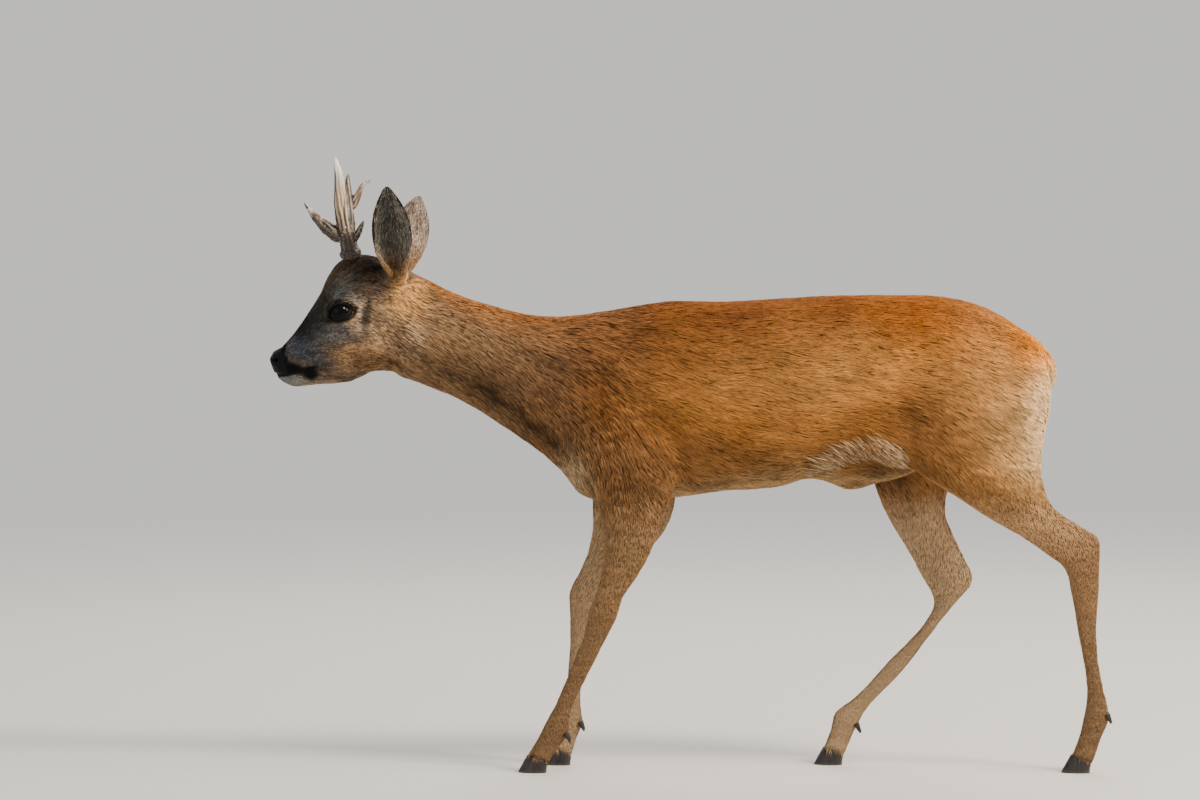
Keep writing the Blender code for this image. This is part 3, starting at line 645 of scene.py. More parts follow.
@dataclass
class CoatColours:
    """The colours of a roe buck's summer coat, with some painted shade and sunlight, worn by the skin and the
    hairs alike.

    Attributes:
        flank: Fox-brown of the sides.
        back: Redder brown along the back.
        low_flank: Sandy lower side.
        belly: Pale underside.
        brisket: Pale front of the chest.
        neck: Grey-brown neck.
        nape: Warm top of the neck.
        head: Grey-brown of the head.
        leg: Fawn of the legs.
        shin: Darker front of the lower legs.
        inner_leg: Paler inside of the legs.
        hock: Sandy patch over the hock.
        rump: Cream round the tail.
        black: Nose and lip.
        ear_back: Back of the ears.
        ear_root: Warm root of the ears.
        ear_inner: Hollow side of the ears.
        ear_edge: Rim of the ears.
        body_marks: Markings of the trunk and patches of painted shade and light, laid in this order.
        head_marks_and_painted_light: Markings of the head and patches of painted shade and light, laid in
            this order.
    """

    flank: tuple = (158, 102, 44)
    back: tuple = (120, 67, 19)
    low_flank: tuple = (140, 96, 50)
    belly: tuple = (164, 130, 88)
    brisket: tuple = (166, 140, 106)
    neck: tuple = (132, 101, 70)
    nape: tuple = (158, 100, 48)
    head: tuple = (116, 95, 76)
    leg: tuple = (150, 115, 79)
    shin: tuple = (104, 84, 64)
    inner_leg: tuple = (184, 154, 118)
    hock: tuple = (212, 168, 120)
    rump: tuple = (250, 214, 160)
    black: tuple = (6, 5, 7)
    ear_back: tuple = (158, 138, 122)
    ear_root: tuple = (136, 102, 66)
    ear_inner: tuple = (88, 84, 76)
    ear_edge: tuple = (34, 28, 25)
    body_marks: tuple = (
        # darker shoulder: partly the coat's own tone, partly painted shade
        ColourPatch((90, 56, 30), Spot(-170, 580, 90, 110, 60, 0.8), 0.55),
        # darker lower neck: partly the coat's own tone, partly painted shade
        ColourPatch((88, 62, 40), Spot(-250, 545, 110, 46, -36, 0.8), 0.55),
        # painted shade over the elbow and the upper foreleg
        ColourPatch((106, 75, 48), Spot(-110, 430, 60, 80, 80, 0.7), 0.60),
        ColourPatch((186, 136, 74), Spot(120, 585, 170, 52, 0, 0.8), 0.45),
        ColourPatch((108, 62, 24), Spot(10, 626, 170, 50, 0, 0.8), 0.60),
        ColourPatch((220, 176, 122), Spot(468, 476, 44, 70, 36, 0.8), 0.65),
        ColourPatch((156, 86, 16), Spot(360, 652, 130, 50, -14, 0.8), 0.60),
        ColourPatch((204, 154, 92), Spot(430, 530, 70, 120, 10, 0.9), 0.55),
        # painted shade at the front of the haunch, where the thigh meets the flank
        ColourPatch((108, 74, 44), Spot(330, 510, 70, 60, 50, 0.8), 0.45),
        # bright orange top of the rump: partly the coat's own colour, partly painted sunlight
        ColourPatch((218, 128, 14), Spot(484, 626, 54, 36, -40, 0.8), 0.90),
        # painted shade in the hollow of the flank fold under the fringe
        ColourPatch((92, 68, 44), Spot(246, 430, 50, 22, 0, 0.8), 0.70),
    )
    head_marks_and_painted_light: tuple = (
        # sandy cheek: partly the coat's own colour, partly painted sunlight
        ColourPatch((176, 142, 106), Spot(-452, 642, 40, 40, -40), 1.0, True),
        ColourPatch((140, 106, 72), Spot(-475, 596, 60, 20, -8, 0.7), 1.0, True),
        # warm patch behind the ear: partly the coat's own colour, partly painted sunlight
        ColourPatch((216, 162, 100), Spot(-424, 694, 26, 34, -30), 1.0, True),
        ColourPatch((76, 64, 52), Spot(-520, 708, 44, 30, 60, 0.8), 0.85),
        ColourPatch((92, 88, 82), Spot(-518, 700, 26, 14, 50, 0.8), 0.7, True),
        ColourPatch((42, 33, 28), Spot(-478, 738, 32, 22, -6, 0.7), 0.95),
        ColourPatch((15, 19, 25), Spot(-570, 638, 44, 20, 54, 0.7), 0.97),
        ColourPatch((52, 50, 46), Spot(-545, 668, 36, 15, 56, 0.8), 0.85),
        ColourPatch((82, 84, 86), Spot(-532, 634, 40, 16, 20, 0.7), 0.75, True),
        ColourPatch((176, 152, 126), Spot(-499, 674, 13, 20, 40), 0.85, True),
        ColourPatch((180, 152, 122), Spot(-499, 650, 14, 17, 24), 0.75, True),
        ColourPatch((74, 76, 76), Spot(-520, 692, 26, 8, -14, 0.8), 0.8, True),
        ColourPatch((42, 36, 33), Spot(-487, 664, 7, 26, -8), 0.85, True),
        ColourPatch((84, 91, 100), Spot(-573, 606, 34, 15, -24, 0.7), 0.8, True),
        # painted shade: the white chin greyed as if shaded under the head
        ColourPatch((130, 131, 127), Spot(-592, 566, 22, 8.5, 4, 0.3), 1.0),
        ColourPatch((150, 136, 116), Spot(-556, 562, 34, 8, -4), 0.5),
        ColourPatch((20, 18, 18), Spot(-535.5, 655, 9, 4.6, 38, 0.4), 0.95, True),
        ColourPatch((15, 13, 13), Spot(-519.5, 665, 21.5, 13.6, 22, 0.10), 0.97, True),
    )

    def base(self, points: np.ndarray, normals: np.ndarray) -> np.ndarray:
        """Colour the trunk, neck and head before their spots, with the trunk's markings and painted shade and
        light.

        Args:
            points: Places in millimetres.
            normals: Outward directions.

        Returns:
            One colour a point, in light values.
        """
        x, z = points[:, 0], points[:, 2]
        wander = Waves(3, 130.0).at(points) * 10.0
        under = ramp(-normals[:, 2], 0.45, 0.95) * ramp(500 - z, 0, 40) * ramp(x + 160, 0, 60)
        chest = Spot(-184, 426, 24, 44, 20, 0.8).weight(points) * ramp(-normals[:, 0], -0.2, 0.6)
        tail_end = ramp(normals[:, 0] * 60 + x + wander, 430, 540) * band(z, 450, 590, 40) * 0.9
        layers = (
            (self.low_flank, ramp(520 + wander - z, -30, 90) * 0.9),
            (self.back, ramp(z + normals[:, 2] * 40 + wander, 622, 704)),
            (self.neck, ramp(-70 - x + 0.3 * (z - 560) + wander * 2.5, 0, 220)),
            (self.nape, ramp(-130 - x, 0, 120) * ramp(normals[:, 2], 0.30, 0.85)),
            *((colour_patch.colour, colour_patch.weight(points, normals)) for colour_patch in self.body_marks),
            (self.belly, under),
            (self.brisket, chest),
            (self.head, ramp(HEAD_END - x, 0, 44)),
            (self.rump, tail_end),
        )
        colour = plain(self.flank, len(points))
        for layer, weight in layers:
            colour = blend(colour, layer, np.clip(weight, 0, 1))
        return colour

    def legs(self, points: np.ndarray, normals: np.ndarray, colour: np.ndarray) -> np.ndarray:
        """Colour the legs over what is there.

        Args:
            points: Places in millimetres.
            normals: Outward directions.
            colour: The colours so far.

        Returns:
            The colours with the legs added.
        """
        z = points[:, 2]
        inward = -normals[:, 1] * np.sign(points[:, 1])
        leg = blend(plain(self.leg, len(points)), self.shin, ramp(330 - z, 0, 260) * 0.4)
        leg = blend(leg, self.inner_leg, ramp(inward, 0.15, 0.8) * 0.8)
        leg = blend(leg, self.hock, Spot(486, 400, 70, 70, -40, 0.8).weight(points) * 0.6)
        return mixed(colour, leg, ramp(430 - z, 0, 70))

    def face(self, points: np.ndarray, normals: np.ndarray, colour: np.ndarray) -> np.ndarray:
        """Lay the head's markings and painted shade and light, the black nose and the lips over what is
        there.

        Args:
            points: Places in millimetres.
            normals: Outward directions.
            colour: The colours so far.

        Returns:
            The colours with the face added.
        """
        near = ramp(HEAD_END - points[:, 0], 0, 20)
        for colour_patch in self.head_marks_and_painted_light:
            colour = blend(colour, colour_patch.colour, colour_patch.weight(points, normals) * near)
        return blend(colour, self.black, np.maximum(self.nose(points), self.lips(points)))

    def nose(self, points: np.ndarray) -> np.ndarray:
        """Weight of the black nose pad and its first hairs."""
        return (1.0 - ramp(self.pad_slope(points), -598.5, -594.0)) * ramp(points[:, 2], 573.5, 576.0)

    def pad_slope(self, points: np.ndarray) -> np.ndarray:
        """Place along the animal, read so that the nose pad's edge lies at one value.

        Args:
            points: Places in millimetres.

        Returns:
            One value a point.
        """
        height = np.clip(points[:, 2] - 592, -30, 30)
        edge = points[:, 0] + 0.30 * height + 0.10 * np.abs(points[:, 1])
        return edge + 1.1 * Waves(81, 12.0).at(points) - 0.006 * height ** 2 - 0.9

    def lips(self, points: np.ndarray) -> np.ndarray:
        """Weight of the black lip line and the dark patch at the corner of the mouth.

        Args:
            points: Places in millimetres.

        Returns:
            One weight a point.
        """
        line = polyline_distance(points, MOUTH_LINE)
        rim = (1.0 - ramp(line, 1.8, 3.6)) * ramp(-548 - points[:, 0], 0, 14)
        upper = Spot(-592, 584, 25, 8.5, -17, 0.45).weight(points)
        corner = Spot(-568, 577, 13, 10.5, -20, 0.4).weight(points)
        return np.maximum(np.maximum(rim, upper), corner)

    def bare(self, points: np.ndarray) -> np.ndarray:
        """Weight of the hairless nose pad and of the thin hairless rim of the lips.

        Args:
            points: Places in millimetres.

        Returns:
            One weight a point.
        """
        line = polyline_distance(points, MOUTH_LINE)
        rim = (1.0 - ramp(line, 1.2, 2.4)) * ramp(-560 - points[:, 0], 0, 14)
        pad = (1.0 - ramp(self.pad_slope(points), -603.5, -601.0)) * ramp(points[:, 2], 573.5, 576.0)
        return np.maximum(pad, rim)

    def ears(self, points: np.ndarray, colour: np.ndarray, cup: np.ndarray, edge: np.ndarray,
             weight: np.ndarray) -> np.ndarray:
        """Colour the ears over what is there.

        Args:
            points: Places in millimetres.
            colour: The colours so far.
            cup: Weight of the hollow side.
            edge: Weight of the ear's rim.
            weight: Weight of the ear itself.

        Returns:
            The colours with the ears added.
        """
        warm = ramp(770 - points[:, 2], 0, 50)
        back = blend(plain(self.ear_back, len(points)), self.ear_root, warm)
        inner = mixed(paint(*self.ear_inner), back, warm * 0.8)
        ear = blend(mixed(back, inner, cup), self.ear_edge, edge)
        return mixed(colour, ear, weight)


MOUTH_LINE = ((-621, 575), (-612, 573), (-600, 573.5), (-584, 577.5), (-570, 581.5), (-558, 586))


# --- the lie of the coat ---


@dataclass(frozen=True)
class Lie:
    """Which way the hair lies, given at places seen from the side and blended between them.

    Attributes:
        guides: Rows of place x, place z, then the way along and up.
    """

    guides: tuple = (
        (-615, 606, 0.60, 0.55), (-590, 590, 1.00, 0.15), (-560, 655, 0.55, 0.80), (-535, 700, 0.45, 0.90),
        (-512, 735, 0.70, 0.70), (-470, 745, 1.00, -0.05), (-560, 600, 1.00, 0.05), (-560, 568, 1.00, 0.05),
        (-530, 635, 0.95, 0.10), (-505, 632, 0.95, -0.15), (-500, 690, 0.90, 0.10), (-478, 660, 0.80, -0.50),
        (-455, 625, 0.72, -0.62), (-485, 588, 1.0, -0.10), (-430, 690, 0.75, -0.62), (-412, 610, 0.85, -0.50),
        (-405, 712, 0.93, -0.32), (-330, 620, 0.78, -0.6), (-320, 560, 0.74, -0.66), (-310, 672, 0.92, -0.36),
        (-240, 600, 0.78, -0.62), (-235, 520, 0.62, -0.76), (-230, 660, 0.96, -0.22), (-190, 455, 0.3, -0.95),
        (-140, 664, 1.0, -0.10), (-150, 570, 0.80, -0.58), (-135, 480, 0.40, -0.90), (-125, 420, 0.15, -1.00),
        (-60, 560, 0.93, -0.34), (-50, 450, 0.72, -0.68), (60, 650, 1.00, -0.10), (60, 540, 0.98, -0.18),
        (60, 440, 0.98, -0.16), (180, 650, 1.00, -0.10), (180, 540, 0.98, -0.16), (180, 430, 1.00, -0.05),
        (235, 480, 0.86, -0.50), (290, 520, 0.95, -0.30), (300, 670, 1.00, -0.12), (300, 600, 0.97, -0.22),
        (400, 670, 0.94, -0.30), (380, 600, 0.93, -0.36), (400, 520, 0.88, -0.48), (330, 470, 0.62, -0.78),
        (440, 450, 0.80, -0.60), (480, 560, 0.94, -0.34), (500, 640, 0.82, -0.56), (515, 580, 0.60, -0.80),
    )

    def at(self, points: np.ndarray) -> np.ndarray:
        """Read the lie of the coat.

        Args:
            points: Places in millimetres.

        Returns:
            One direction a point.
        """
        table = np.array(self.guides, float)
        flat = points[:, [0, 2]]
        gaps = ((flat[:, None, :] - table[None, :, :2]) ** 2).sum(axis=2)
        weights = 1.0 / (gaps + 14.0 ** 2) ** 2
        blended = weights @ table[:, 2:] / weights.sum(axis=1, keepdims=True)
        return unit(np.stack([blended[:, 0], np.zeros(len(points)), blended[:, 1]], axis=1))


@dataclass(frozen=True)
class HairSize:
    """Size of the hair tufts on one part of the body, in millimetres.

    Attributes:
        length: Length of a tuft.
        width: Width of a tuft.
        depth: Depth of the coat from skin to hair tips.
        room: Area of skin that one tuft grows from.
    """

    length: float
    width: float
    depth: float
    room: float

    def row(self) -> np.ndarray:
        """The four sizes in one row."""
        return np.array([self.length, self.width, self.depth, self.room])


HAIR = {
    "trunk": HairSize(27.0, 1.45, 4.0, 5.6),
    "neck": HairSize(22.0, 1.45, 3.8, 4.6),
    "head": HairSize(10.5, 1.15, 2.0, 3.0),
    "face": HairSize(5.6, 0.85, 1.2, 1.5),
    "muzzle": HairSize(3.4, 0.7, 0.8, 1.0),
    "ear": HairSize(8.5, 0.9, 0.9, 2.4),
    "upper_leg": HairSize(15.0, 1.2, 2.3, 3.7),
    "cannon": HairSize(10.5, 0.85, 1.3, 2.1),
    "pastern": HairSize(9.5, 0.85, 1.2, 2.0),
    "tail": HairSize(17.0, 1.7, 3.6, 3.8),
}
FLESH = ("head", "nose", "neck", "trunk", "tail", "ear_left", "ear_right") + tuple(
    leg + "_" + part for leg in LEG_NAMES
    for part in (("forearm" if leg.startswith("fore") else "thigh"), *LOWER_LEG))


def hair_row(node: str) -> np.ndarray:
    """The hair sizes of one solid node.

    Args:
        node: Name of the node.

    Returns:
        Length, width, depth and room in millimetres.
    """
    for word, key in (("ear_", "ear"), ("forearm", "upper_leg"), ("thigh", "upper_leg"),
                      ("cannon", "cannon"), ("pastern", "pastern"), ("nose", "muzzle")):
        if word in node:
            return HAIR[key].row()
    return HAIR[node].row()


# --- the skin ---


@dataclass(frozen=True)
class Form:
    """A soft swelling or hollow of the skin on both sides, in millimetres.

    Attributes:
        spot: Its oval seen from the side.
        height: How far it stands out, or lies in when negative.
    """

    spot: Spot
    height: float

    def lift(self, points: np.ndarray, normals: np.ndarray) -> np.ndarray:
        """How far each point moves outward."""
        return self.height * self.spot.dome(points) * sideways(normals)


RIBS = ((60, 90, 1.0), (96, 90, 1.0), (132, 90, 1.0), (168, 85, 1.0), (204, 75, 0.8))
BODY_FORMS = (
    Form(Spot(-118, 560, 26, 90, 62), 3.2), Form(Spot(-160, 520, 14, 70, 58), -1.8),
    Form(Spot(-76, 470, 34, 44, 30), 3.2), Form(Spot(-34, 470, 11, 64, 20), -3.4),
    Form(Spot(-150, 455, 16, 30, 10), 2.2), Form(Spot(-112, 430, 9, 36, 10), -1.6),
    Form(Spot(-250, 580, 60, 14, -32), 1.6), Form(Spot(-300, 560, 90, 9, -34), -1.8),
    Form(Spot(-300, 655, 80, 10, -20), -1.2),
    Form(Spot(312, 612, 34, 30, -30), -3.6), Form(Spot(368, 655, 34, 13, -30), 2.6),
    Form(Spot(296, 520, 12, 60, 14), -3.2), Form(Spot(352, 500, 30, 56, 16), 3.0),
    Form(Spot(420, 560, 12, 90, 20), -1.8), Form(Spot(462, 560, 22, 80, 12), 2.4),
    Form(Spot(450, 640, 26, 16, -20), 1.8),
    *(Form(Spot(x, 560, 8, tall, 12), height) for x, tall, height in RIBS),
)
HEAD_FORMS = (
    Form(Spot(-520, 665, 30, 24, -20), 1.2), Form(Spot(-512, 692, 24, 7, -22), 2.0),
    Form(Spot(-546, 650, 15, 8, 40), -2.2), Form(Spot(-552, 640, 8, 3.0, 44), -1.8),
    Form(Spot(-497, 640, 30, 7, -14), 1.4), Form(Spot(-500, 622, 22, 9, -12), -1.4),
    Form(Spot(-470, 618, 28, 24, -50), 1.6), Form(Spot(-540, 618, 40, 8, -28), -1.3),
    Form(Spot(-590, 589, 18, 8, -14), 1.6), Form(Spot(-603, 563, 16, 6, 5), 0.8),
    Form(Spot(-560, 660, 22, 6, 54), -0.9),
)


@dataclass
class Skin:
    """The one skin under the coat, drawn over all the flesh.

    Attributes:
        voxel: Fineness of the first even surface, in metres.
        gap_fill: How far parts are grown to close the thin gaps between them, in metres.
        triangles: Triangles kept in the whole skin.
        group_steps: Steps of strength in a vertex group.
        streak_rounds: How far chance values are drawn out along the hair.
        streak_hold: How strongly each place keeps its own chance value.
        mouth_line: Depth and half width of the line of the mouth, in millimetres.
        nose_groove: Depth and half width of the groove below the nose.
        nostril: Place of the right nostril.
        nostril_way: The way along its slit.
        nostril_depth: Its depth.
        lid_black: Colour of the lids' rims.
        coat_colours: The coat's colours, with its painted shade and light.
        surface: The finished surface.
        table: Values of its vertices: hair sizes, hair ways, node numbers, colours and weights.
    """

    voxel: float = 0.0016
    gap_fill: float = 0.00035
    triangles: int = 176000
    group_steps: int = 24
    streak_rounds: int = 16
    streak_hold: float = 0.1
    mouth_line: tuple = (2.0, 1.9)
    nose_groove: tuple = (1.3, 1.8)
    nostril: tuple = (-615.0, 13.5, 596.0)
    nostril_way: tuple = (0.60, 0.78, 0.18)
    nostril_depth: float = 7.0
    lid_black: tuple = (13, 11, 11)
    coat_colours: CoatColours = field(default_factory=CoatColours)
    surface: Surface = field(init=False, default=None)
    table: dict = field(init=False, default_factory=dict)

    def softness(self, points: np.ndarray) -> np.ndarray:
        """How strongly each place is smoothed, from its thinness.

        Args:
            points: Places in millimetres.

        Returns:
            One weight a point.
        """
        x, z = points[:, 0], points[:, 2]
        soft = 0.03 + 0.97 * ramp(z, 380, 470)
        soft = np.minimum(soft, 1.0 - 0.93 * ramp(-x, 385, 450))
        ears = ramp(z + 0.2 * (x + 440), 738, 748) * ramp(-x, 380, 388) * ramp(x + 500, 0, 6)
        return soft * (1.0 - 0.88 * ears)

    def keep_dense(self, points: np.ndarray) -> np.ndarray:
        """Whether each place, on the face or the ears, keeps all its small faces."""
        x, z = points[:, 0], points[:, 2]
        return (x < -470) | (z > 738) & (x > -490) & (x < -360)

    def grouped(self, mesh: bpy.types.Mesh, weights: np.ndarray, name: str) -> bpy.types.Object:
        """Give a mesh a vertex group in a few even steps.

        Args:
            mesh: The mesh.
            weights: One weight a vertex.
            name: Name of the group.

        Returns:
            The object that holds the mesh and its group.
        """
        item = link("skin_" + name, mesh)
        group = item.vertex_groups.new(name=name)
        steps = np.round(weights * self.group_steps).astype(int)
        for step in range(1, self.group_steps + 1):
            chosen = np.nonzero(steps == step)[0]
            if len(chosen):
                group.add(chosen.tolist(), step / self.group_steps, "REPLACE")
        return item

    def smoothed(self, mesh: bpy.types.Mesh) -> bpy.types.Mesh:
        """Smooth the surface, most on the trunk and least on thin parts.

        Args:
            mesh: The even surface.

        Returns:
            The smooth surface.
        """
        points = to_table(mesh_points(mesh))
        item = self.grouped(mesh, self.softness(points) ** 0.8, "soft")
        step = item.modifiers.new("soft", "SMOOTH")
        step.vertex_group = "soft"
        step.factor = 0.8
        step.iterations = 90
        return baked(item)

    def thinned(self, mesh: bpy.types.Mesh) -> bpy.types.Mesh:
        """Take triangles away from the body and keep the head's.

        Args:
            mesh: The smooth surface.

        Returns:
            The surface with fewer triangles.
        """
        points = to_table(mesh_points(mesh))
        free = np.where(self.keep_dense(points), 0.0, 1.0)
        item = self.grouped(mesh, free, "free")
        step = item.modifiers.new("thin", "DECIMATE")
        step.vertex_group = "free"
        step.vertex_group_factor = 1.0
        step.ratio = self.triangles / (2 * len(mesh.polygons))
        step.use_collapse_triangulate = True
        return baked(item)

    def whole(self, mesh: bpy.types.Mesh) -> tuple:
        """Keep only the largest island of a mesh.

        Args:
            mesh: The mesh.

        Returns:
            Its vertex places and its triangles.
        """
        points, triangles = mesh_parts(mesh)
        labels = island_labels(len(points), mesh_edges(mesh))
        numbers, counts = np.unique(labels, return_counts=True)
        kept = labels == numbers[np.argmax(counts)]
        places = np.cumsum(kept) - 1
        chosen = kept[triangles].all(axis=1)
        return points[kept], places[triangles[chosen]]

    def node_numbers(self, points: np.ndarray) -> np.ndarray:
        """Number of the solid node nearest to each point.

        Args:
            points: Places in metres.

        Returns:
            One number a point, as in FLESH.
        """
        parts = [mesh_parts(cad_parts[name].data) for name in FLESH]
        owner = np.repeat(np.arange(len(parts)), [len(triangles) for _, triangles in parts])
        corners, faces = stacked(parts)
        search = BVHTree.FromPolygons(corners.tolist(), faces.tolist()).find_nearest
        return owner[[search(place)[2] for place in points.tolist()]]

    def limb_ways(self) -> dict:
        """The way down along each leg piece, and from root to tip along each ear.

        Returns:
            One unit vector a node name.
        """
        ways = {}
        for name in FLESH:
            if name.startswith(("foreleg", "hindleg", "ear_", "tail")):
                points = mesh_points(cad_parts[name].data)
                height = points[:, 2]
                top = points[height >= np.quantile(height, 0.85)].mean(axis=0)
                foot = points[height <= np.quantile(height, 0.15)].mean(axis=0)
                way = unit(foot - top)
                ways[name] = -way if name.startswith("ear_") else way
        return ways

    def shaped(self, points: np.ndarray, triangles: np.ndarray) -> np.ndarray:
        """Set the skin in by the coat's depth and model its folds.

        Args:
            points: Vertex places in metres.
            triangles: The skin's triangles.

        Returns:
            The new vertex places in metres.
        """
        mesh = triangle_mesh("draft", points, triangles)
        edges = mesh_edges(mesh)
        normals = mesh_normals(mesh)
        bpy.data.meshes.remove(mesh)
        places = to_table(points)
        numbers = self.node_numbers(points)
        rows = np.array([hair_row(name) for name in FLESH])[numbers]
        on_head = np.isin(numbers, [FLESH.index("head"), FLESH.index("nose")])
        rows = mixed(rows, HAIR["face"].row(), ramp(-places[:, 0], 462, 535) * on_head)
        rows = mixed(rows, HAIR["muzzle"].row(), ramp(-places[:, 0], 560, 600) * on_head)
        rows = spread(rows, edges, 16)
        ways = Lie().at(places)
        for name, way in self.limb_ways().items():
            ways[numbers == FLESH.index(name)] = way
        ways = spread(ways, edges, 24)
        lift = sum(form.lift(places, normals) for form in BODY_FORMS) * ramp(places[:, 0], -425, -385)
        lift = lift + sum(form.lift(places, normals) for form in HEAD_FORMS) * ramp(-places[:, 0], 400, 430)
        lift = lift - rows[:, 2] + self.mouth(places) + self.nostrils(places)
        self.table = {"rows": rows, "ways": ways, "numbers": numbers, "edges": edges}
        return points + normals * lift[:, None] * MM

    def streaks(self, points: np.ndarray) -> np.ndarray:
        """Draw chance values out along the lie of the hair.

        Args:
            points: Vertex places in metres.

        Returns:
            One value a vertex, about 1 in strength.
        """
        count = len(points)
        ways = unit(self.table["ways"])
        first, second = self.table["edges"].T
        along = unit(points[second] - points[first])
        pull_1 = np.abs((along * ways[first]).sum(axis=1)) ** 10
        pull_2 = np.abs((along * ways[second]).sum(axis=1)) ** 10
        total = self.streak_hold + np.bincount(first, pull_1, count) + np.bincount(second, pull_2, count)
        values = np.random.default_rng(9).normal(0.0, 1.0, count)
        for _ in range(self.streak_rounds):
            drawn = np.bincount(first, pull_1 * values[second], count)
            drawn += np.bincount(second, pull_2 * values[first], count)
            values = (self.streak_hold * values + drawn) / total
        return np.clip(values / values.std(), -2.2, 2.2)

    def mouth(self, places: np.ndarray) -> np.ndarray:
        """Depth of the mouth line and of the groove below the nose, as negative lifts.

        Args:
            places: Places in millimetres.

        Returns:
            One lift a place.
        """
        depth, half = self.mouth_line
        line = polyline_distance(places, MOUTH_LINE)
        mouth = -depth * np.exp(-((line / half) ** 2)) * ramp(-places[:, 0], 556, 562)
        depth, half = self.nose_groove
        front = ramp(-places[:, 0], 608, 614) * band(places[:, 2], 574, 592, 3)
        return mouth - depth * np.exp(-((places[:, 1] / half) ** 2)) * front

    def nostrils(self, places: np.ndarray) -> np.ndarray:
        """Depth of the nostrils as negative lifts, with the raised rims over them.

        Args:
            places: Places in millimetres.

        Returns:
            One lift a place.
        """
        lift = np.zeros(len(places))
        for side in Side:
            mirror = np.array([1.0, side.value, 1.0])
            offset = places - np.array(self.nostril) * mirror
            long_way = unit(np.array(self.nostril_way) * mirror)
            along = offset @ long_way / 7.0
            up = (offset[:, 2] - 2.2 * along ** 2 + 1.0) / 3.0
            near = np.exp(-((offset @ np.cross(long_way, (0.0, 0.0, 1.0))) / 9.0) ** 2)
            lift -= self.nostril_depth * np.exp(-1.3 * (along ** 2 + up ** 2)) * near
            lift += 1.5 * np.exp(-1.1 * (along ** 2 + (up - 2.0) ** 2)) * near
            lift += 0.8 * np.exp(-1.1 * ((along + 0.4) ** 2 + (up + 2.2) ** 2)) * near
        return lift

    def ear_weights(self, places: np.ndarray, normals: np.ndarray) -> tuple:
        """Find the ears' hollow side and rim.

        Args:
            places: Places in millimetres.
            normals: Outward directions.

        Returns:
            Weights of the hollow side, of the rim and of the ears.
        """
        cup, edge, whole = np.zeros((3, len(places)))
        for ear in EARS:
            own = self.table["numbers"] == FLESH.index(ear.node)
            cup[own], edge[own] = ear.weights(places[own], normals[own])
            whole[own] = 1.0
        edges = self.table["edges"]
        return spread(cup, edges, 2), spread(edge, edges, 1), spread(whole, edges, 4)

    def colour_in(self, places: np.ndarray, normals: np.ndarray) -> None:
        """Colour the skin with the coat's own markings and painted shade and light, and note its bare places.

        Args:
            places: Places in millimetres.
            normals: Outward directions.
        """
        cup, edge, whole = self.ear_weights(places, normals)
        colour = self.coat_colours.base(places, normals)
        colour = self.coat_colours.legs(places, normals, colour)
        colour = self.coat_colours.face(places, normals, colour)
        self.table["colour"] = self.coat_colours.ears(places, colour, cup, edge, whole)
        self.table["cup"] = cup
        self.table["bare"] = self.coat_colours.bare(places)

    def add_lids(self, side: Side, points: np.ndarray, triangles: np.ndarray) -> tuple:
        """Add the lids of one eye to the skin and to its tables.

        Args:
            side: The side of the eye.
            points: Vertex places in metres.
            triangles: The skin's triangles.

        Returns:
            The new vertex places and triangles.
        """
        lid_points, lid_triangles, bare, dark = EYES.lids(side, self.surface)
        lid_points = to_frame(lid_points)
        found, shares = self.surface.nearest(lid_points)
        for name in ("rows", "ways", "colour", "cup", "streak"):
            values = self.table[name]
            self.table[name] = np.concatenate([values, self.surface.read(values, found, shares)])
        own = slice(len(points), None)
        self.table["colour"][own] = blend(self.table["colour"][own], self.lid_black, dark)
        numbers = np.full(len(dark), FLESH.index("head"))
        self.table["numbers"] = np.concatenate([self.table["numbers"], numbers])
        self.table["bare"] = np.concatenate([self.table["bare"], bare * 0.5])
        return stacked([(points, triangles), (lid_points, lid_triangles)])

    def build(self) -> bpy.types.Object:
        """Make the skin.

        Returns:
            The skin as a piece of the figure.
        """
        mesh = remeshed(copy_nodes(FLESH, self.gap_fill), self.voxel)
        LOG.info("even surface: %d faces", len(mesh.polygons))
        points, triangles = self.whole(self.thinned(self.smoothed(mesh)))
        LOG.info("skin: %d triangles", len(triangles))
        points = self.shaped(points, triangles)
        mesh = triangle_mesh("draft", points, triangles)
        self.surface = Surface(points, triangles, mesh_normals(mesh))
        bpy.data.meshes.remove(mesh)
        self.colour_in(to_table(points), self.surface.normals)
        self.table["streak"] = self.streaks(points)
        for side in Side:
            points, triangles = self.add_lids(side, points, triangles)
        mesh = triangle_mesh("skin", points, triangles)
        self.surface = Surface(points, triangles, mesh_normals(mesh))
        bare = self.table["bare"]
        shade = 0.74 + np.maximum(0.26 * bare, 0.16 * on_legs(to_table(points)))
        set_colours(mesh, self.table["colour"] * shade[:, None])
        set_values(mesh, bare, "bare")
        return link("skin", mesh)


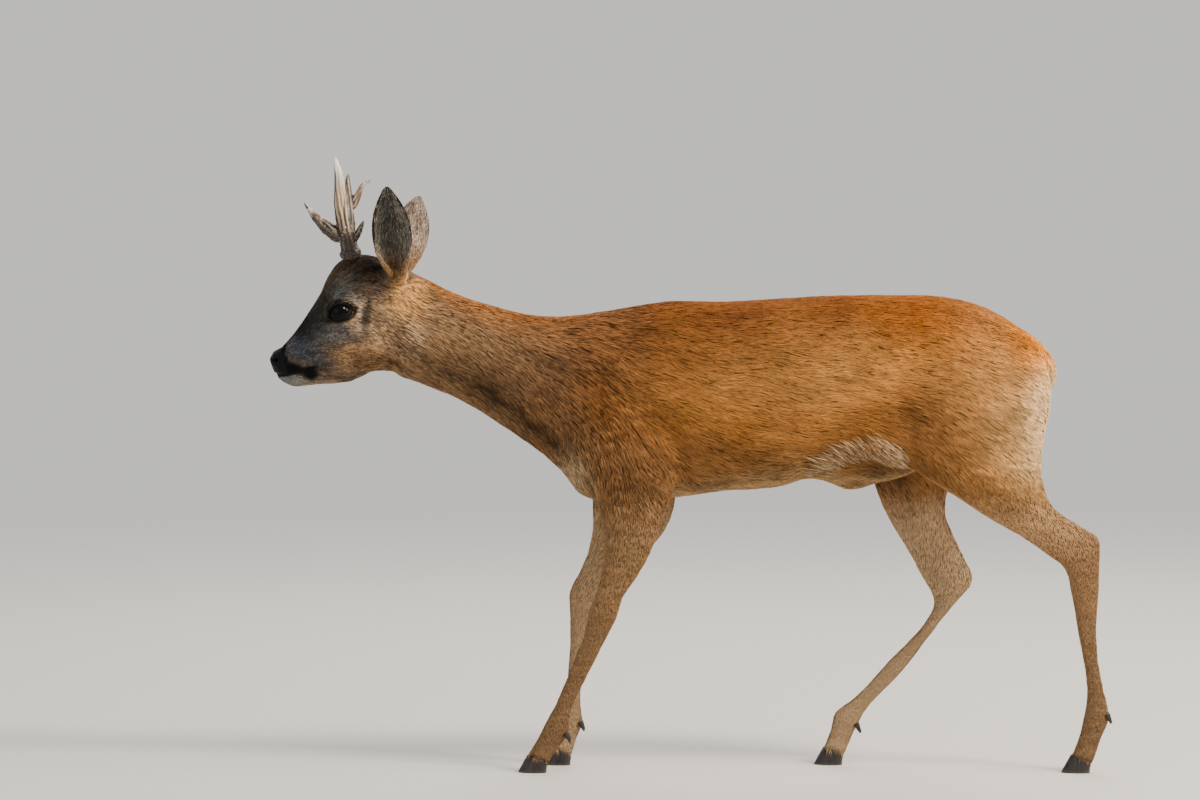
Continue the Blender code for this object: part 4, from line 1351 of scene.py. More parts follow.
@dataclass(frozen=True)
class Ear:
    """One cupped ear, in millimetres from the figure's zero point.

    Attributes:
        node: Its solid node.
        foot: Middle of its root.
        tip: Its tip.
        opening: The way its hollow side faces.
        widths: Rows of share from root to tip, radius of the shell and its spread in degrees.
    """

    node: str
    foot: tuple
    tip: tuple
    opening: tuple
    widths: tuple = (
        (0.00, 13.5, 150), (0.10, 18.5, 140), (0.20, 23.0, 122), (0.32, 27.0, 102), (0.46, 29.5, 84),
        (0.60, 29.7, 73), (0.74, 25.8, 64), (0.87, 17.1, 58), (0.96, 8.7, 54), (1.00, 3.1, 50),
    )

    def axes(self) -> tuple:
        """The ear's own axes and its length.

        Returns:
            The ways from root to tip, out of the hollow and across, and the length.
        """
        axis = np.array(self.tip, float) - np.array(self.foot, float)
        length = float(np.linalg.norm(axis))
        axis = axis / length
        face = np.array(self.opening, float)
        face = unit(face - axis * (face @ axis))
        return axis, face, np.cross(axis, face), length

    def weights(self, places: np.ndarray, normals: np.ndarray) -> tuple:
        """Find the hollow side and the rim.

        Args:
            places: Places on the ear in millimetres.
            normals: Outward directions.

        Returns:
            Weight of the hollow side and weight of the rim.
        """
        axis, face, across, length = self.axes()
        share = (places - np.array(self.foot)) @ axis / length
        table = np.array(self.widths)
        radius = np.interp(share, table[:, 0], table[:, 1])
        middle = np.array(self.foot) + share[:, None] * length * axis + (radius * 0.55)[:, None] * face
        out = unit(places - middle)
        hollow = ramp(-(out * normals).sum(axis=1), -0.15, 0.25) * ramp(share, 0.08, 0.2)
        angle = np.degrees(np.arctan2(np.abs(out @ across), -(out @ face)))
        spread_angle = np.interp(share, table[:, 0], table[:, 2])
        rim = ramp(angle, spread_angle - 17, spread_angle - 8) * ramp(share, 0.25, 0.4)
        return hollow, np.maximum(rim, ramp(share, 0.91, 0.97))


EARS = (
    Ear("ear_left", (-437, -36, 722), (-452, -92, 850), (-0.06, -1.0, -0.12)),
    Ear("ear_right", (-436, 36, 720), (-408, 84, 831), (-0.12, 1.0, -0.30)),
)


# --- the coat ---


@dataclass(frozen=True)
class CoatPiece:
    """One part of the coat and the axis that its map is wrapped round.

    Attributes:
        name: Name of the piece.
        nodes: Beginnings of the solid nodes that it grows over.
        start: Start of its axis in millimetres.
        end: End of its axis in millimetres.
        span: Lowest and highest place along the animal.
        side: The side it lies on, or None for both.
    """

    name: str
    nodes: tuple
    start: tuple
    end: tuple
    span: tuple = (-1000.0, 1000.0)
    side: Side = None

    def holds(self, places: np.ndarray, names: np.ndarray) -> np.ndarray:
        """Which roots belong to this piece.

        Args:
            places: Root places in millimetres.
            names: Solid node numbers of the roots.

        Returns:
            True for each root of this piece.
        """
        wanted = [i for i, name in enumerate(FLESH) if name.startswith(self.nodes)]
        chosen = np.isin(names, wanted)
        chosen &= (places[:, 0] >= self.span[0]) & (places[:, 0] < self.span[1])
        if self.side is not None:
            chosen &= np.where(places[:, 1] < 0, -1.0, 1.0) == self.side.value
        return chosen

    def wrap(self, places: np.ndarray) -> np.ndarray:
        """Unwrap places round the piece's own axis into a flat map.

        Args:
            places: Places in millimetres.

        Returns:
            One map place for each, from 0.02 to 0.98.
        """
        start = np.array(self.start, float)
        axis = np.array(self.end, float) - start
        length = np.linalg.norm(axis)
        axis = axis / length
        first = unit(np.cross(axis, (0.0, 1.0, 0.13)))
        second = np.cross(axis, first)
        offset = places - start
        turn = np.arctan2(offset @ second, offset @ first) / (2 * math.pi) % 1.0
        flat = np.stack([turn, (offset @ axis) / length], axis=1)
        low = flat.min(axis=0)
        high = flat.max(axis=0)
        return 0.02 + 0.955 * (flat - low) / np.maximum(high - low, 1e-6)


def both_sides(name: str, nodes: tuple, start: tuple, end: tuple, *span: tuple) -> tuple:
    """The left and the right coat piece of one part."""
    return tuple(
        CoatPiece("%s_%s" % (name, side.label), nodes, start, end, *span, side=side) for side in Side)


TRUNK_AXIS = ((-220, 0, 560), (540, 0, 560))
LEG_AXES = (
    ((-100, -58, 380), (-240, -55, 20)), ((-110, 58, 380), (-210, 55, 20)),
    ((430, -60, 430), (500, -55, 20)), ((330, 60, 400), (190, 55, 20)),
)
COAT_PIECES = (
    *both_sides("coat_head", ("head", "nose"), (-630, 0, 585), (-400, 0, 680)),
    *(CoatPiece("coat_" + ear.node, (ear.node,), ear.foot, ear.tip) for ear in EARS),
    *both_sides("coat_neck", ("neck",), (-430, 0, 665), (-190, 0, 540)),
    *both_sides("coat_fore", ("trunk",), *TRUNK_AXIS, (-1000, 20)),
    *both_sides("coat_flank", ("trunk",), *TRUNK_AXIS, (20, 260)),
    *both_sides("coat_haunch", ("trunk",), *TRUNK_AXIS, (260, 1000)),
    CoatPiece("coat_tail", ("tail",), (500, 0, 610), (512, 0, 560)),
    *(CoatPiece("coat_" + leg, (leg,), *axis) for leg, axis in zip(LEG_NAMES, LEG_AXES)),
)


@dataclass
class Locks:
    """Closed tapering tufts, all of one kind, held as arrays until they are made a mesh.

    Attributes:
        paths: Places of each tuft from root to tip, one row a tuft.
        rises: Outward directions at those places.
        widths: Width of each tuft at its widest.
        shades: Colour of each tuft at each place.
        maps: Place of each tuft's root in the flat map.
        thick: Thickness as a share of width.
        patch: Size of one tuft's patch in the flat map.
    """

    paths: np.ndarray
    rises: np.ndarray
    widths: np.ndarray
    shades: np.ndarray
    maps: np.ndarray
    thick: float = 0.45
    patch: float = 0.003

    def pattern(self, sections: int) -> np.ndarray:
        """Vertex numbers of one tuft's triangles.

        Args:
            sections: How many three-cornered sections lie between root and tip.

        Returns:
            One row a triangle.
        """
        faces = [(0, 1, 2), (0, 2, 3), (0, 3, 1)]
        for section in range(sections - 1):
            a = 1 + 3 * section
            b = a + 3
            for first, second in ((0, 1), (1, 2), (2, 0)):
                faces.append((a + first, b + first, a + second))
                faces.append((b + first, b + second, a + second))
        last = 1 + 3 * (sections - 1)
        tip = last + 3
        faces += [(tip, last + 1, last), (tip, last + 2, last + 1), (tip, last, last + 2)]
        return np.array(faces)

    def mesh(self, name: str) -> bpy.types.Mesh:
        """Make all the tufts one mesh with its colours and its flat map.

        Args:
            name: Name of the mesh.

        Returns:
            The mesh.
        """
        count, stations = self.paths.shape[:2]
        sections = stations - 2
        corners = 3 * sections + 2
        way = unit(self.paths[:, 2:] - self.paths[:, :-2])
        rise = unit(self.rises[:, 1:-1])
        across = unit(np.cross(rise, way))
        taper = np.sin(np.linspace(0, math.pi, stations)[1:-1] ** 0.92)
        half = (self.widths[:, None] * taper[None] / 2)[:, :, None]
        middle = self.paths[:, 1:-1]
        low = middle - rise * half * self.thick * 0.5
        high = middle + rise * half * self.thick * 1.4
        rings = np.stack([low - across * half, high, low + across * half], axis=2).reshape(count, -1, 3)
        places = np.concatenate([self.paths[:, :1], rings, self.paths[:, -1:]], axis=1)
        ring_shades = np.repeat(self.shades[:, 1:-1], 3, axis=1)
        shades = np.concatenate([self.shades[:, :1], ring_shades, self.shades[:, -1:]], axis=1)
        starts = (np.arange(count) * corners)[:, None, None]
        triangles = (self.pattern(sections)[None] + starts).reshape(-1, 3)
        mesh = triangle_mesh(name, places.reshape(-1, 3), triangles)
        set_colours(mesh, shades.reshape(-1, 3))
        self.map_onto(mesh, triangles, corners, sections)
        return mesh

    def map_onto(self, mesh: bpy.types.Mesh, triangles: np.ndarray, corners: int, sections: int) -> None:
        """Write the flat map, where each tuft is a small patch at its root's place.

        Args:
            mesh: The mesh of all the tufts.
            triangles: Its triangles.
            corners: Vertices of one tuft.
            sections: Sections of one tuft.
        """
        along = np.linspace(0, 1, sections + 2)
        patch = np.zeros((corners, 2))
        patch[0] = (0.5, 0.0)
        patch[-1] = (0.5, 1.0)
        patch[1:-1, 0] = np.tile((0.0, 0.5, 1.0), sections)
        patch[1:-1, 1] = np.repeat(along[1:-1], 3)
        spots = self.maps[:, None, :] + patch[None] * self.patch
        layer = mesh.uv_layers.new(name="OFBake")
        layer.data.foreach_set("uv", spots.reshape(-1, 2)[triangles.ravel()].astype(np.float32).ravel())


def inside(paths: np.ndarray) -> np.ndarray:
    """Keep tufts inside the outermost places of the solids, side to side.

    Args:
        paths: Places of each tuft from root to tip, in metres.

    Returns:
        The places, moved in where they lay too far out.
    """
    low = min(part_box(node)[0][1] for node in FLESH) + SIDE_MARGIN
    high = max(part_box(node)[1][1] for node in FLESH) - SIDE_MARGIN
    paths[:, :, 1] = np.clip(paths[:, :, 1], low, high)
    return paths


@dataclass
class Coat:
    """The coat of hair tufts over the skin.

    Attributes:
        skin: The skin that it grows from.
        seed: Seed of its draws.
        cup_edge: Weight of the ears' hollow side from which a root lies in the hollow.
        bend: Share of a tuft's length up to its bend.
        onward: Share of its length from the bend to the tip.
        bend_height: Height of the bend as a share of the coat's depth.
        least_reach: Share of its length that a tuft must span to be kept.
        tones: Brightness of a tuft at its root, bend and tip.
        leg_tones: The same on the legs.
        grizzled: Colour of the pale hairs in the ears.
        root_depth: How deep the roots are set into the skin, in millimetres.
    """

    skin: Skin
    seed: int = 11
    cup_edge: float = 0.4
    bend: float = 0.42
    onward: float = 0.58
    bend_height: float = 0.72
    least_reach: float = 0.72
    tones: tuple = (0.66, 0.94, 1.10)
    leg_tones: tuple = (0.84, 0.98, 1.04)
    grizzled: tuple = (178, 166, 148)
    root_depth: float = 0.4

    def roots(self) -> tuple:
        """Choose where the tufts grow, evenly over the skin.

        Returns:
            Triangle numbers and corner shares of all the roots.
        """
        surface = self.skin.surface
        draws = np.random.default_rng(self.seed)
        room = self.skin.table["rows"][surface.triangles, 3].mean(axis=1)
        bare = self.skin.table["bare"][surface.triangles].mean(axis=1)
        middles = to_table(surface.points[surface.triangles].mean(axis=1))
        wanted = surface.areas() / MM ** 2 / room
        wanted[(bare > 0.3) | EYES.covers(middles)] = 0.0
        order = np.lexsort((middles[:, 1], middles[:, 2], np.floor(middles[:, 0] / 6)))
        total = np.cumsum(wanted[order])
        ticks = np.arange(0.5, total[-1], 1.0)
        ticks = ticks + draws.uniform(-0.45, 0.45, len(ticks))
        found = order[np.clip(np.searchsorted(total, ticks), 0, len(order) - 1)]
        first = draws.random((len(found), 2))
        flip = first.sum(axis=1) > 1
        first[flip] = 1 - first[flip]
        shares = np.stack([1 - first.sum(axis=1), first[:, 0], first[:, 1]], axis=1)
        return found, shares

    def ear_ways(self, places: np.ndarray, ways: np.ndarray, cup: np.ndarray,
                 names: np.ndarray) -> np.ndarray:
        """Turn the hairs inside the ears from their rims towards the middle and the tip.

        Args:
            places: Root places in millimetres.
            ways: Directions so far.
            cup: Weight of the hollow side.
            names: Solid node numbers of the roots.

        Returns:
            The new directions.
        """
        ways = ways.copy()
        for ear in EARS:
            own = (names == FLESH.index(ear.node)) & (cup > self.cup_edge)
            axis, _, across, _ = ear.axes()
            side = np.clip((places[own] - np.array(ear.foot)) @ across / 16.0, -1.0, 1.0)
            lean = 0.45 * side + 0.10 * Waves(71, 26.0).at(places[own])
            ways[own] = unit(axis[None] - across[None] * lean[:, None])
        return ways

    def combed(self, places: np.ndarray, normals: np.ndarray, ways: np.ndarray,
               draws: np.random.Generator) -> np.ndarray:
        """Lay the hair ways along the skin and let them wander a little in locks.

        Args:
            places: Root places in millimetres.
            normals: Outward directions.
            ways: Directions of the hair.
            draws: Source of chance.

        Returns:
            One unit direction a root, along the skin.
        """
        flat = along_surface(ways, normals)
        across = np.cross(normals, flat)
        fine = np.where(places[:, 0] < -400, 0.8, 1.0)
        turn = 0.06 * Waves(21, 70.0).at(places) + 0.055 * Waves(22, 22.0).at(places)
        turn = (turn + draws.normal(0, 0.055, len(places))) * fine
        return flat * np.cos(turn)[:, None] + across * np.sin(turn)[:, None]

    def ground(self) -> Surface:
        """Join the skin and the claws, so that the lowest hairs hang over the claws.

        Returns:
            The surface that the hairs lie on.
        """
        skin = self.skin.surface
        claws = [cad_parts[name].data for leg in LEG_NAMES for name in claw_nodes(leg, "hoof")]
        parts = [(skin.points, skin.triangles)] + [mesh_parts(mesh) for mesh in claws]
        normals = [skin.normals] + [mesh_normals(mesh) for mesh in claws]
        return Surface(*stacked(parts), np.concatenate(normals))

    def followed(self, surface: Surface, places: np.ndarray, rises: np.ndarray) -> tuple:
        """Bring places back over a surface at a height above it.

        Args:
            surface: The surface that the hairs lie on.
            places: Places in metres.
            rises: Heights above the surface in metres.

        Returns:
            The new places and the outward directions there.
        """
        spots, normals = surface.spots(*surface.nearest(places))
        return spots + normals * rises[:, None], normals

    def shades(self, places: np.ndarray, colour: np.ndarray, streak: np.ndarray, cup: np.ndarray,
               draws: np.random.Generator) -> tuple:
        """Vary the tufts' colours from lock to lock.

        Args:
            places: Root places in millimetres.
            colour: The markings and painted shade and light at the roots.
            streak: Values drawn out along the hair.
            cup: Weight of the ears' hollow side.
            draws: Source of chance.

        Returns:
            The tufts' colours and how much each stands out.
        """
        count = len(places)
        clump = Waves(31, 16.0, (3.4, 1.0, 1.0)).at(places)
        patch = Waves(32, 70.0, (1.6, 1.0, 1.0)).at(places)
        front = ramp(-places[:, 0], 40, 160) * ramp(places[:, 2], 330, 470)
        level = 1.0 + 0.07 * clump + 0.06 * patch + (0.15 + 0.19 * front) * streak
        level += draws.normal(0, 1.0, count) * (0.10 + 0.08 * front)
        chance = draws.random(count)
        dark = chance < 0.09 + 0.14 * front
        light = chance > 0.90 - 0.08 * front
        level[dark] *= 0.66 - 0.22 * front[dark]
        level[light] *= 1.26 + 0.32 * front[light]
        level = 1.0 + (level - 1.0) * (1.0 - 0.7 * on_legs(places))
        speckle = Spot(-573, 604, 34, 20, -24).weight(places)
        level *= np.where(draws.random(count) < 0.45 * speckle, 0.42, 1.0)
        shade = colour * np.clip(level, 0.22, 1.9)[:, None]
        warm = draws.normal(0, 0.05, count)[:, None]
        shade = shade * (1.0 + warm * np.array([1.0, 0.1, -0.9]))
        behind = ramp(places[:, 0] + 0.10 * (places[:, 2] - 722), -436, -422)
        pale = (cup > self.cup_edge) & (draws.random(count) < 0.05 + 0.34 * behind)
        shade[pale] = paint(*self.grizzled) * draws.uniform(0.5, 1.0, (int(pale.sum()), 1))
        stand = 0.9 + 0.06 * clump + 0.04 * streak + draws.normal(0, 0.06, count)
        return held(shade), stand

    def build(self) -> list:
        """Grow the whole coat.

        Returns:
            The coat's pieces.
        """
        draws = np.random.default_rng(self.seed + 1)
        surface = self.skin.surface
        table = self.skin.table
        found, shares = self.roots()
        count = len(found)
        LOG.info("coat: %d tufts", count)
        roots, normals = surface.spots(found, shares)
        places = to_table(roots)
        names = table["numbers"][surface.triangles[found, np.argmax(shares, axis=1)]]
        rows, ways, colour, streak, cup = (
            surface.read(table[name], found, shares) for name in ("rows", "ways", "colour", "streak", "cup"))
        ways = self.combed(places, normals, self.ear_ways(places, ways, cup, names), draws)
        shade, stand = self.shades(places, colour, streak, cup, draws)
        grow = draws.uniform(0.78, 1.22, count) * (1.0 + 0.45 * ramp(50 - places[:, 2], 0, 8))
        length = rows[:, 0] * grow * np.where(cup > self.cup_edge, 1.35, 1.0) * MM
        width = rows[:, 1] * draws.uniform(0.7, 1.35, count) * MM
        depth = rows[:, 2] * np.clip(stand, 0.55, 1.2) * MM
        ground = self.ground()
        onward = roots + ways * (self.bend * length)[:, None]
        bend, rise_1 = self.followed(ground, onward, depth * self.bend_height)
        onward = bend + along_surface(ways, rise_1) * (self.onward * length)[:, None]
        tip, rise_2 = self.followed(ground, onward, depth * draws.uniform(0.55, 0.98, count))
        lying = np.linalg.norm(tip - roots, axis=1) > self.least_reach * length
        paths = inside(np.stack([roots - normals * self.root_depth * MM, bend, tip], axis=1))
        rises = np.stack([normals, rise_1, rise_2], axis=1)
        on_leg = on_legs(places)[:, None]
        tones = np.array(self.tones) * (1 - on_leg) + np.array(self.leg_tones) * on_leg
        shades = held(shade[:, None, :] * tones[:, :, None])
        pieces = []
        for piece in COAT_PIECES:
            own = piece.holds(places, names) & lying
            locks = Locks(paths[own], rises[own], width[own], shades[own], piece.wrap(places[own]))
            pieces.append(link(piece.name, locks.mesh(piece.name)))
            LOG.info("%s: %d tufts", piece.name, int(own.sum()))
        return pieces


# --- the eyes ---


@dataclass
class Eyes:
    """The two eyes with their lids, in millimetres.

    Attributes:
        radius: Radius of an eyeball.
        forward: How far each looks forward.
        sink: How far it is set in from its solid.
        bulge: How far the cornea stands out, as a share of the radius.
        half_long: Half length of the opening between the lids.
        upper: Height of the upper lid's arch.
        lower: Depth of the lower lid's arch.
        turn: Turn of the opening in degrees, positive with the rear end up.
        margin: Rows of the lids' rims: share of the opening and height over the eyeball.
        fold: Rows from the rim out to the skin: share of the way and height over it.
        outer: Share of the opening where the lids meet the skin.
        bald: Share of the opening that stays without hair.
        steps: Points round the opening.
        rings: Rings of an eyeball from front to back.
        ball_steps: Points of one ring of an eyeball.
        lashes_count: Lashes of one upper lid.
        lash_length: Shortest and longest lash.
        lash_width: Width of a lash.
        pupil_half: Half length and half height of the pupil.
        iris: Colour of the iris.
        pupil: Colour of the pupil.
        rim: Colour of the dark ring round the iris.
        lash: Colour of the lashes.
    """

    radius: float = 18.3
    forward: float = 0.10
    sink: float = 1.6
    bulge: float = 0.035
    half_long: float = 16.4
    upper: float = 11.4
    lower: float = 9.2
    turn: float = 22.0
    margin: tuple = ((0.93, -0.4), (0.95, 0.6), (1.00, 1.25), (1.07, 1.6))
    fold: tuple = ((0.12, 0.1), (0.24, -0.5), (0.38, 0.2), (0.52, 0.7), (0.66, 0.8), (0.82, 0.4), (1.0, 0.0))
    outer: float = 1.62
    bald: float = 1.11
    steps: int = 80
    rings: int = 40
    ball_steps: int = 64
    lashes_count: int = 40
    lash_length: tuple = (5.0, 7.0)
    lash_width: float = 0.55
    pupil_half: tuple = (8.8, 4.6)
    iris: tuple = (7, 5, 4)
    pupil: tuple = (2, 3, 6)
    rim: tuple = (11, 8, 7)
    lash: tuple = (12, 10, 9)

    def middle(self, side: Side) -> np.ndarray:
        """Middle of an eyeball in millimetres."""
        x, y, z = EYE_PLACE
        return np.array([x, side.value * (abs(y) - self.sink), z])

    def axes(self, side: Side) -> tuple:
        """The eye's own axes.

        Args:
            side: The side of the eye.

        Returns:
            The ways outward, along the opening and up.
        """
        out = unit(np.array([-self.forward, side.value, 0.05]))
        angle = math.radians(self.turn)
        along = np.array([math.cos(angle), 0.0, math.sin(angle)])
        along = unit(along - out * (along @ out))
        up = np.cross(out, along)
        return out, along, up if up[2] > 0 else -up

    def outline(self, share: float) -> tuple:
        """The opening's outline at a share of its size.

        Args:
            share: Size against the open edge of the lids.

        Returns:
            Places along and up, in millimetres.
        """
        turns = np.linspace(0, 2 * math.pi, self.steps, endpoint=False)
        grow = self.half_long * (share - 1.0)
        along = (self.half_long + grow) * np.cos(turns)
        height = np.where(np.sin(turns) > 0, self.upper, self.lower) + grow
        pinch = 1.0 - 0.16 * np.cos(turns) ** 2 * max(0.0, 1.0 - (share - 1.0) * 2)
        return along, height * np.sin(turns) * pinch

    def over_ball(self, first: np.ndarray, second: np.ndarray, height: np.ndarray) -> np.ndarray:
        """How far out a place at a height over the eyeball lies, never nearer than 3 mm."""
        return np.sqrt(np.maximum((self.radius + height) ** 2 - first ** 2 - second ** 2, 9.0))

    def covers(self, places: np.ndarray) -> np.ndarray:
        """Which places lie in an eye's opening or on its lids' rims, where no hair grows.

        Args:
            places: Places in millimetres.

        Returns:
            True for each such place.
        """
        hidden = np.zeros(len(places), bool)
        for side in Side:
            out, along, up = self.axes(side)
            offset = places - self.middle(side)
            first = offset @ along
            second = offset @ up
            tall = np.where(second > 0, self.upper, self.lower)
            reach = np.sqrt((first / self.half_long) ** 2 + (second / tall) ** 2)
            bald = self.bald + 0.10 * ramp(first, 0.7 * self.half_long, self.half_long)
            hidden |= (reach < bald) & (offset @ out > 0)
        return hidden

    def facing(self, side: Side, faces: list) -> np.ndarray:
        """Turn faces that are wound for the left eye outward on either side.

        Args:
            side: The side of the eye.
            faces: Vertex numbers of each triangle.

        Returns:
            The triangles, all facing outward.
        """
        triangles = np.array(faces)
        out, along, up = self.axes(side)
        return triangles[:, ::-1] if np.dot(np.cross(along, up), out) < 0 else triangles

    def ball(self, side: Side) -> bpy.types.Object:
        """Make one eyeball with its dark iris and long pupil.

        Args:
            side: The side it lies on.

        Returns:
            The eyeball.
        """
        out, along, up = self.axes(side)
        points = [out * self.radius * (1.0 + self.bulge)]
        for number in range(1, self.rings):
            angle = math.pi * number / self.rings
            radius = self.radius * (1.0 + self.bulge * math.exp(-((angle / 0.62) ** 4)))
            for step in range(self.ball_steps):
                turn = 2 * math.pi * step / self.ball_steps
                way = along * math.cos(turn) + up * math.sin(turn)
                points.append((out * math.cos(angle) + way * math.sin(angle)) * radius)
        points.append(-out * self.radius)
        last = len(points) - 1
        ring = last - self.ball_steps
        edge = [(step, (step + 1) % self.ball_steps) for step in range(self.ball_steps)]
        faces = [(0, 1 + step, 1 + after) for step, after in edge]
        faces += ring_faces(self.rings - 1, self.ball_steps, 1)
        faces += [(last, ring + after, ring + step) for step, after in edge]
        points = np.array(points)
        name = "eyeball_" + side.label
        mesh = triangle_mesh(name, to_frame(points + self.middle(side)), self.facing(side, faces))
        first = points @ along
        second = points @ up
        reach = np.sqrt(first ** 2 + second ** 2)
        streak = 0.25 * np.sin(np.arctan2(second, first) * 23.0) * ramp(reach, 5, 9)
        colour = plain(self.iris, len(points)) * (1.0 + streak)[:, None]
        half_long, half_tall = self.pupil_half
        oval = (first / half_long) ** 2 + (second / half_tall) ** 2
        colour = blend(colour, self.pupil, 1.0 - ramp(oval, 0.8, 1.2))
        set_colours(mesh, blend(colour, self.rim, ramp(reach, 11.6, 13.2)))
        return link(name, mesh)

    def skin_depth(self, side: Side, first: np.ndarray, second: np.ndarray, surface: Surface) -> np.ndarray:
        """Height of the skin over the eye's middle, measured along the eye's outward axis.

        Args:
            side: The side of the eye.
            first: Places along the opening in millimetres.
            second: Places up in millimetres.
            surface: The skin's surface.

        Returns:
            One height in millimetres a place.
        """
        out, along, up = self.axes(side)
        far = 60.0
        depths = np.empty(len(first))
        for number, (a, b) in enumerate(zip(first, second)):
            start = to_frame(self.middle(side) + out * far + along * a + up * b)
            hit = surface.tree.ray_cast(Vector(start), Vector(-out))[3]
            depths[number] = far - hit / MM if hit is not None else 0.0
        return depths

    def lids(self, side: Side, surface: Surface) -> tuple:
        """Make the lids of one eye as a soft band from the eyeball out under the coat.

        Args:
            side: The side they lie on.
            surface: The skin's surface round the eye.

        Returns:
            Vertex places in millimetres, triangles, the bare rims and the darkness of the lids.
        """
        out, along, up = self.axes(side)
        rows = []
        for share, height in self.margin:
            first, second = self.outline(share)
            over = height + 0.5 * (second > 0) * (height > 0)
            rows.append((first, second, self.over_ball(first, second, over)))
        bare = [np.ones(self.steps)] * len(rows)
        dark = list(bare)
        inner = np.array(rows[-1])
        corner = 1.0 + 0.9 * ramp(inner[0], 0.80 * self.half_long, 1.05 * self.half_long)
        first, second = self.outline(self.outer)
        outer = np.array([first, second, self.skin_depth(side, first, second, surface) - 0.7])
        for share, height in self.fold:
            first, second, depth = inner + (outer - inner) * share
            rows.append((first, second, depth + height))
            bare.append(1.0 - ramp(share / corner, 0.14, 0.38))
            dark.append(1.0 - ramp(share / corner, 0.34, 0.72))
        points = [out * c[:, None] + along * a[:, None] + up * b[:, None] for a, b, c in rows]
        places = np.concatenate(points) + self.middle(side)
        triangles = self.facing(side, ring_faces(len(rows), self.steps))
        return places, triangles, np.concatenate(bare), np.concatenate(dark)

    def lashes(self, side: Side) -> Locks:
        """Make the upper lashes of one eye.

        Args:
            side: The side they lie on.

        Returns:
            The lashes as tufts.
        """
        out, along, up = self.axes(side)
        draws = np.random.default_rng(5)
        count = self.lashes_count
        turns = np.linspace(0.16 * math.pi, 0.90 * math.pi, count) + draws.normal(0, 0.02, count)
        first = self.half_long * 1.04 * np.cos(turns)
        second = self.upper * 1.05 * np.sin(turns)
        depth = self.over_ball(first, second, 1.9)
        root = out * depth[:, None] + along * first[:, None] + up * second[:, None]
        fan = (out * 0.75 + up * 0.15)[None] + along * (0.55 * np.cos(turns))[:, None]
        fan = unit(fan + draws.normal(0, 0.05, (count, 3)))
        length = draws.uniform(*self.lash_length, count)[:, None]
        bend = root + fan * length * 0.5 - up * 0.9
        tip = root + fan * length - up * 0.2
        paths = to_frame(np.stack([root - fan * 0.8, bend, tip], axis=1) + self.middle(side))
        rises = np.tile(unit(up + out * 0.3), (count, 3, 1))
        shades = np.tile(paint(*self.lash), (count, 3, 1))
        column = 0.25 + 0.5 * (side is Side.LEFT)
        maps = np.stack([np.linspace(0.05, 0.9, count), np.full(count, column)], axis=1)
        return Locks(paths, rises, np.full(count, self.lash_width * MM), shades, maps)


EYES = Eyes()


# --- wiring ---


@dataclass(frozen=True)
class Wiring:
    """Adds nodes to a node tree and joins them up.

    Attributes:
        tree: The node tree.
    """

    tree: bpy.types.NodeTree

    def feed(self, node: bpy.types.Node, inputs: dict) -> None:
        """Set a node's inputs.

        Args:
            node: The node.
            inputs: A plain value or another node's output for each input, by name or number.
        """
        for key, value in inputs.items():
            if isinstance(value, bpy.types.NodeSocket):
                self.tree.links.new(value, node.inputs[key])
            else:
                node.inputs[key].default_value = value

    def add(self, kind: str, inputs: dict, **settings: str) -> bpy.types.Node:
        """Add a node.

        Args:
            kind: Type of the node.
            inputs: Its inputs, as for feed.
            settings: Its own settings.

        Returns:
            The node.
        """
        node = self.tree.nodes.new(kind)
        for name, value in settings.items():
            setattr(node, name, value)
        self.feed(node, inputs)
        return node


def new_material(name: str) -> tuple:
    """Make a material that is built of nodes.

    Args:
        name: Name of the material.

    Returns:
        The material, the wiring of its nodes and its main shader.
    """
    material = bpy.data.materials.new(name)
    material.use_nodes = True
    return material, Wiring(material.node_tree), material.node_tree.nodes["Principled BSDF"]


# --- antlers ---


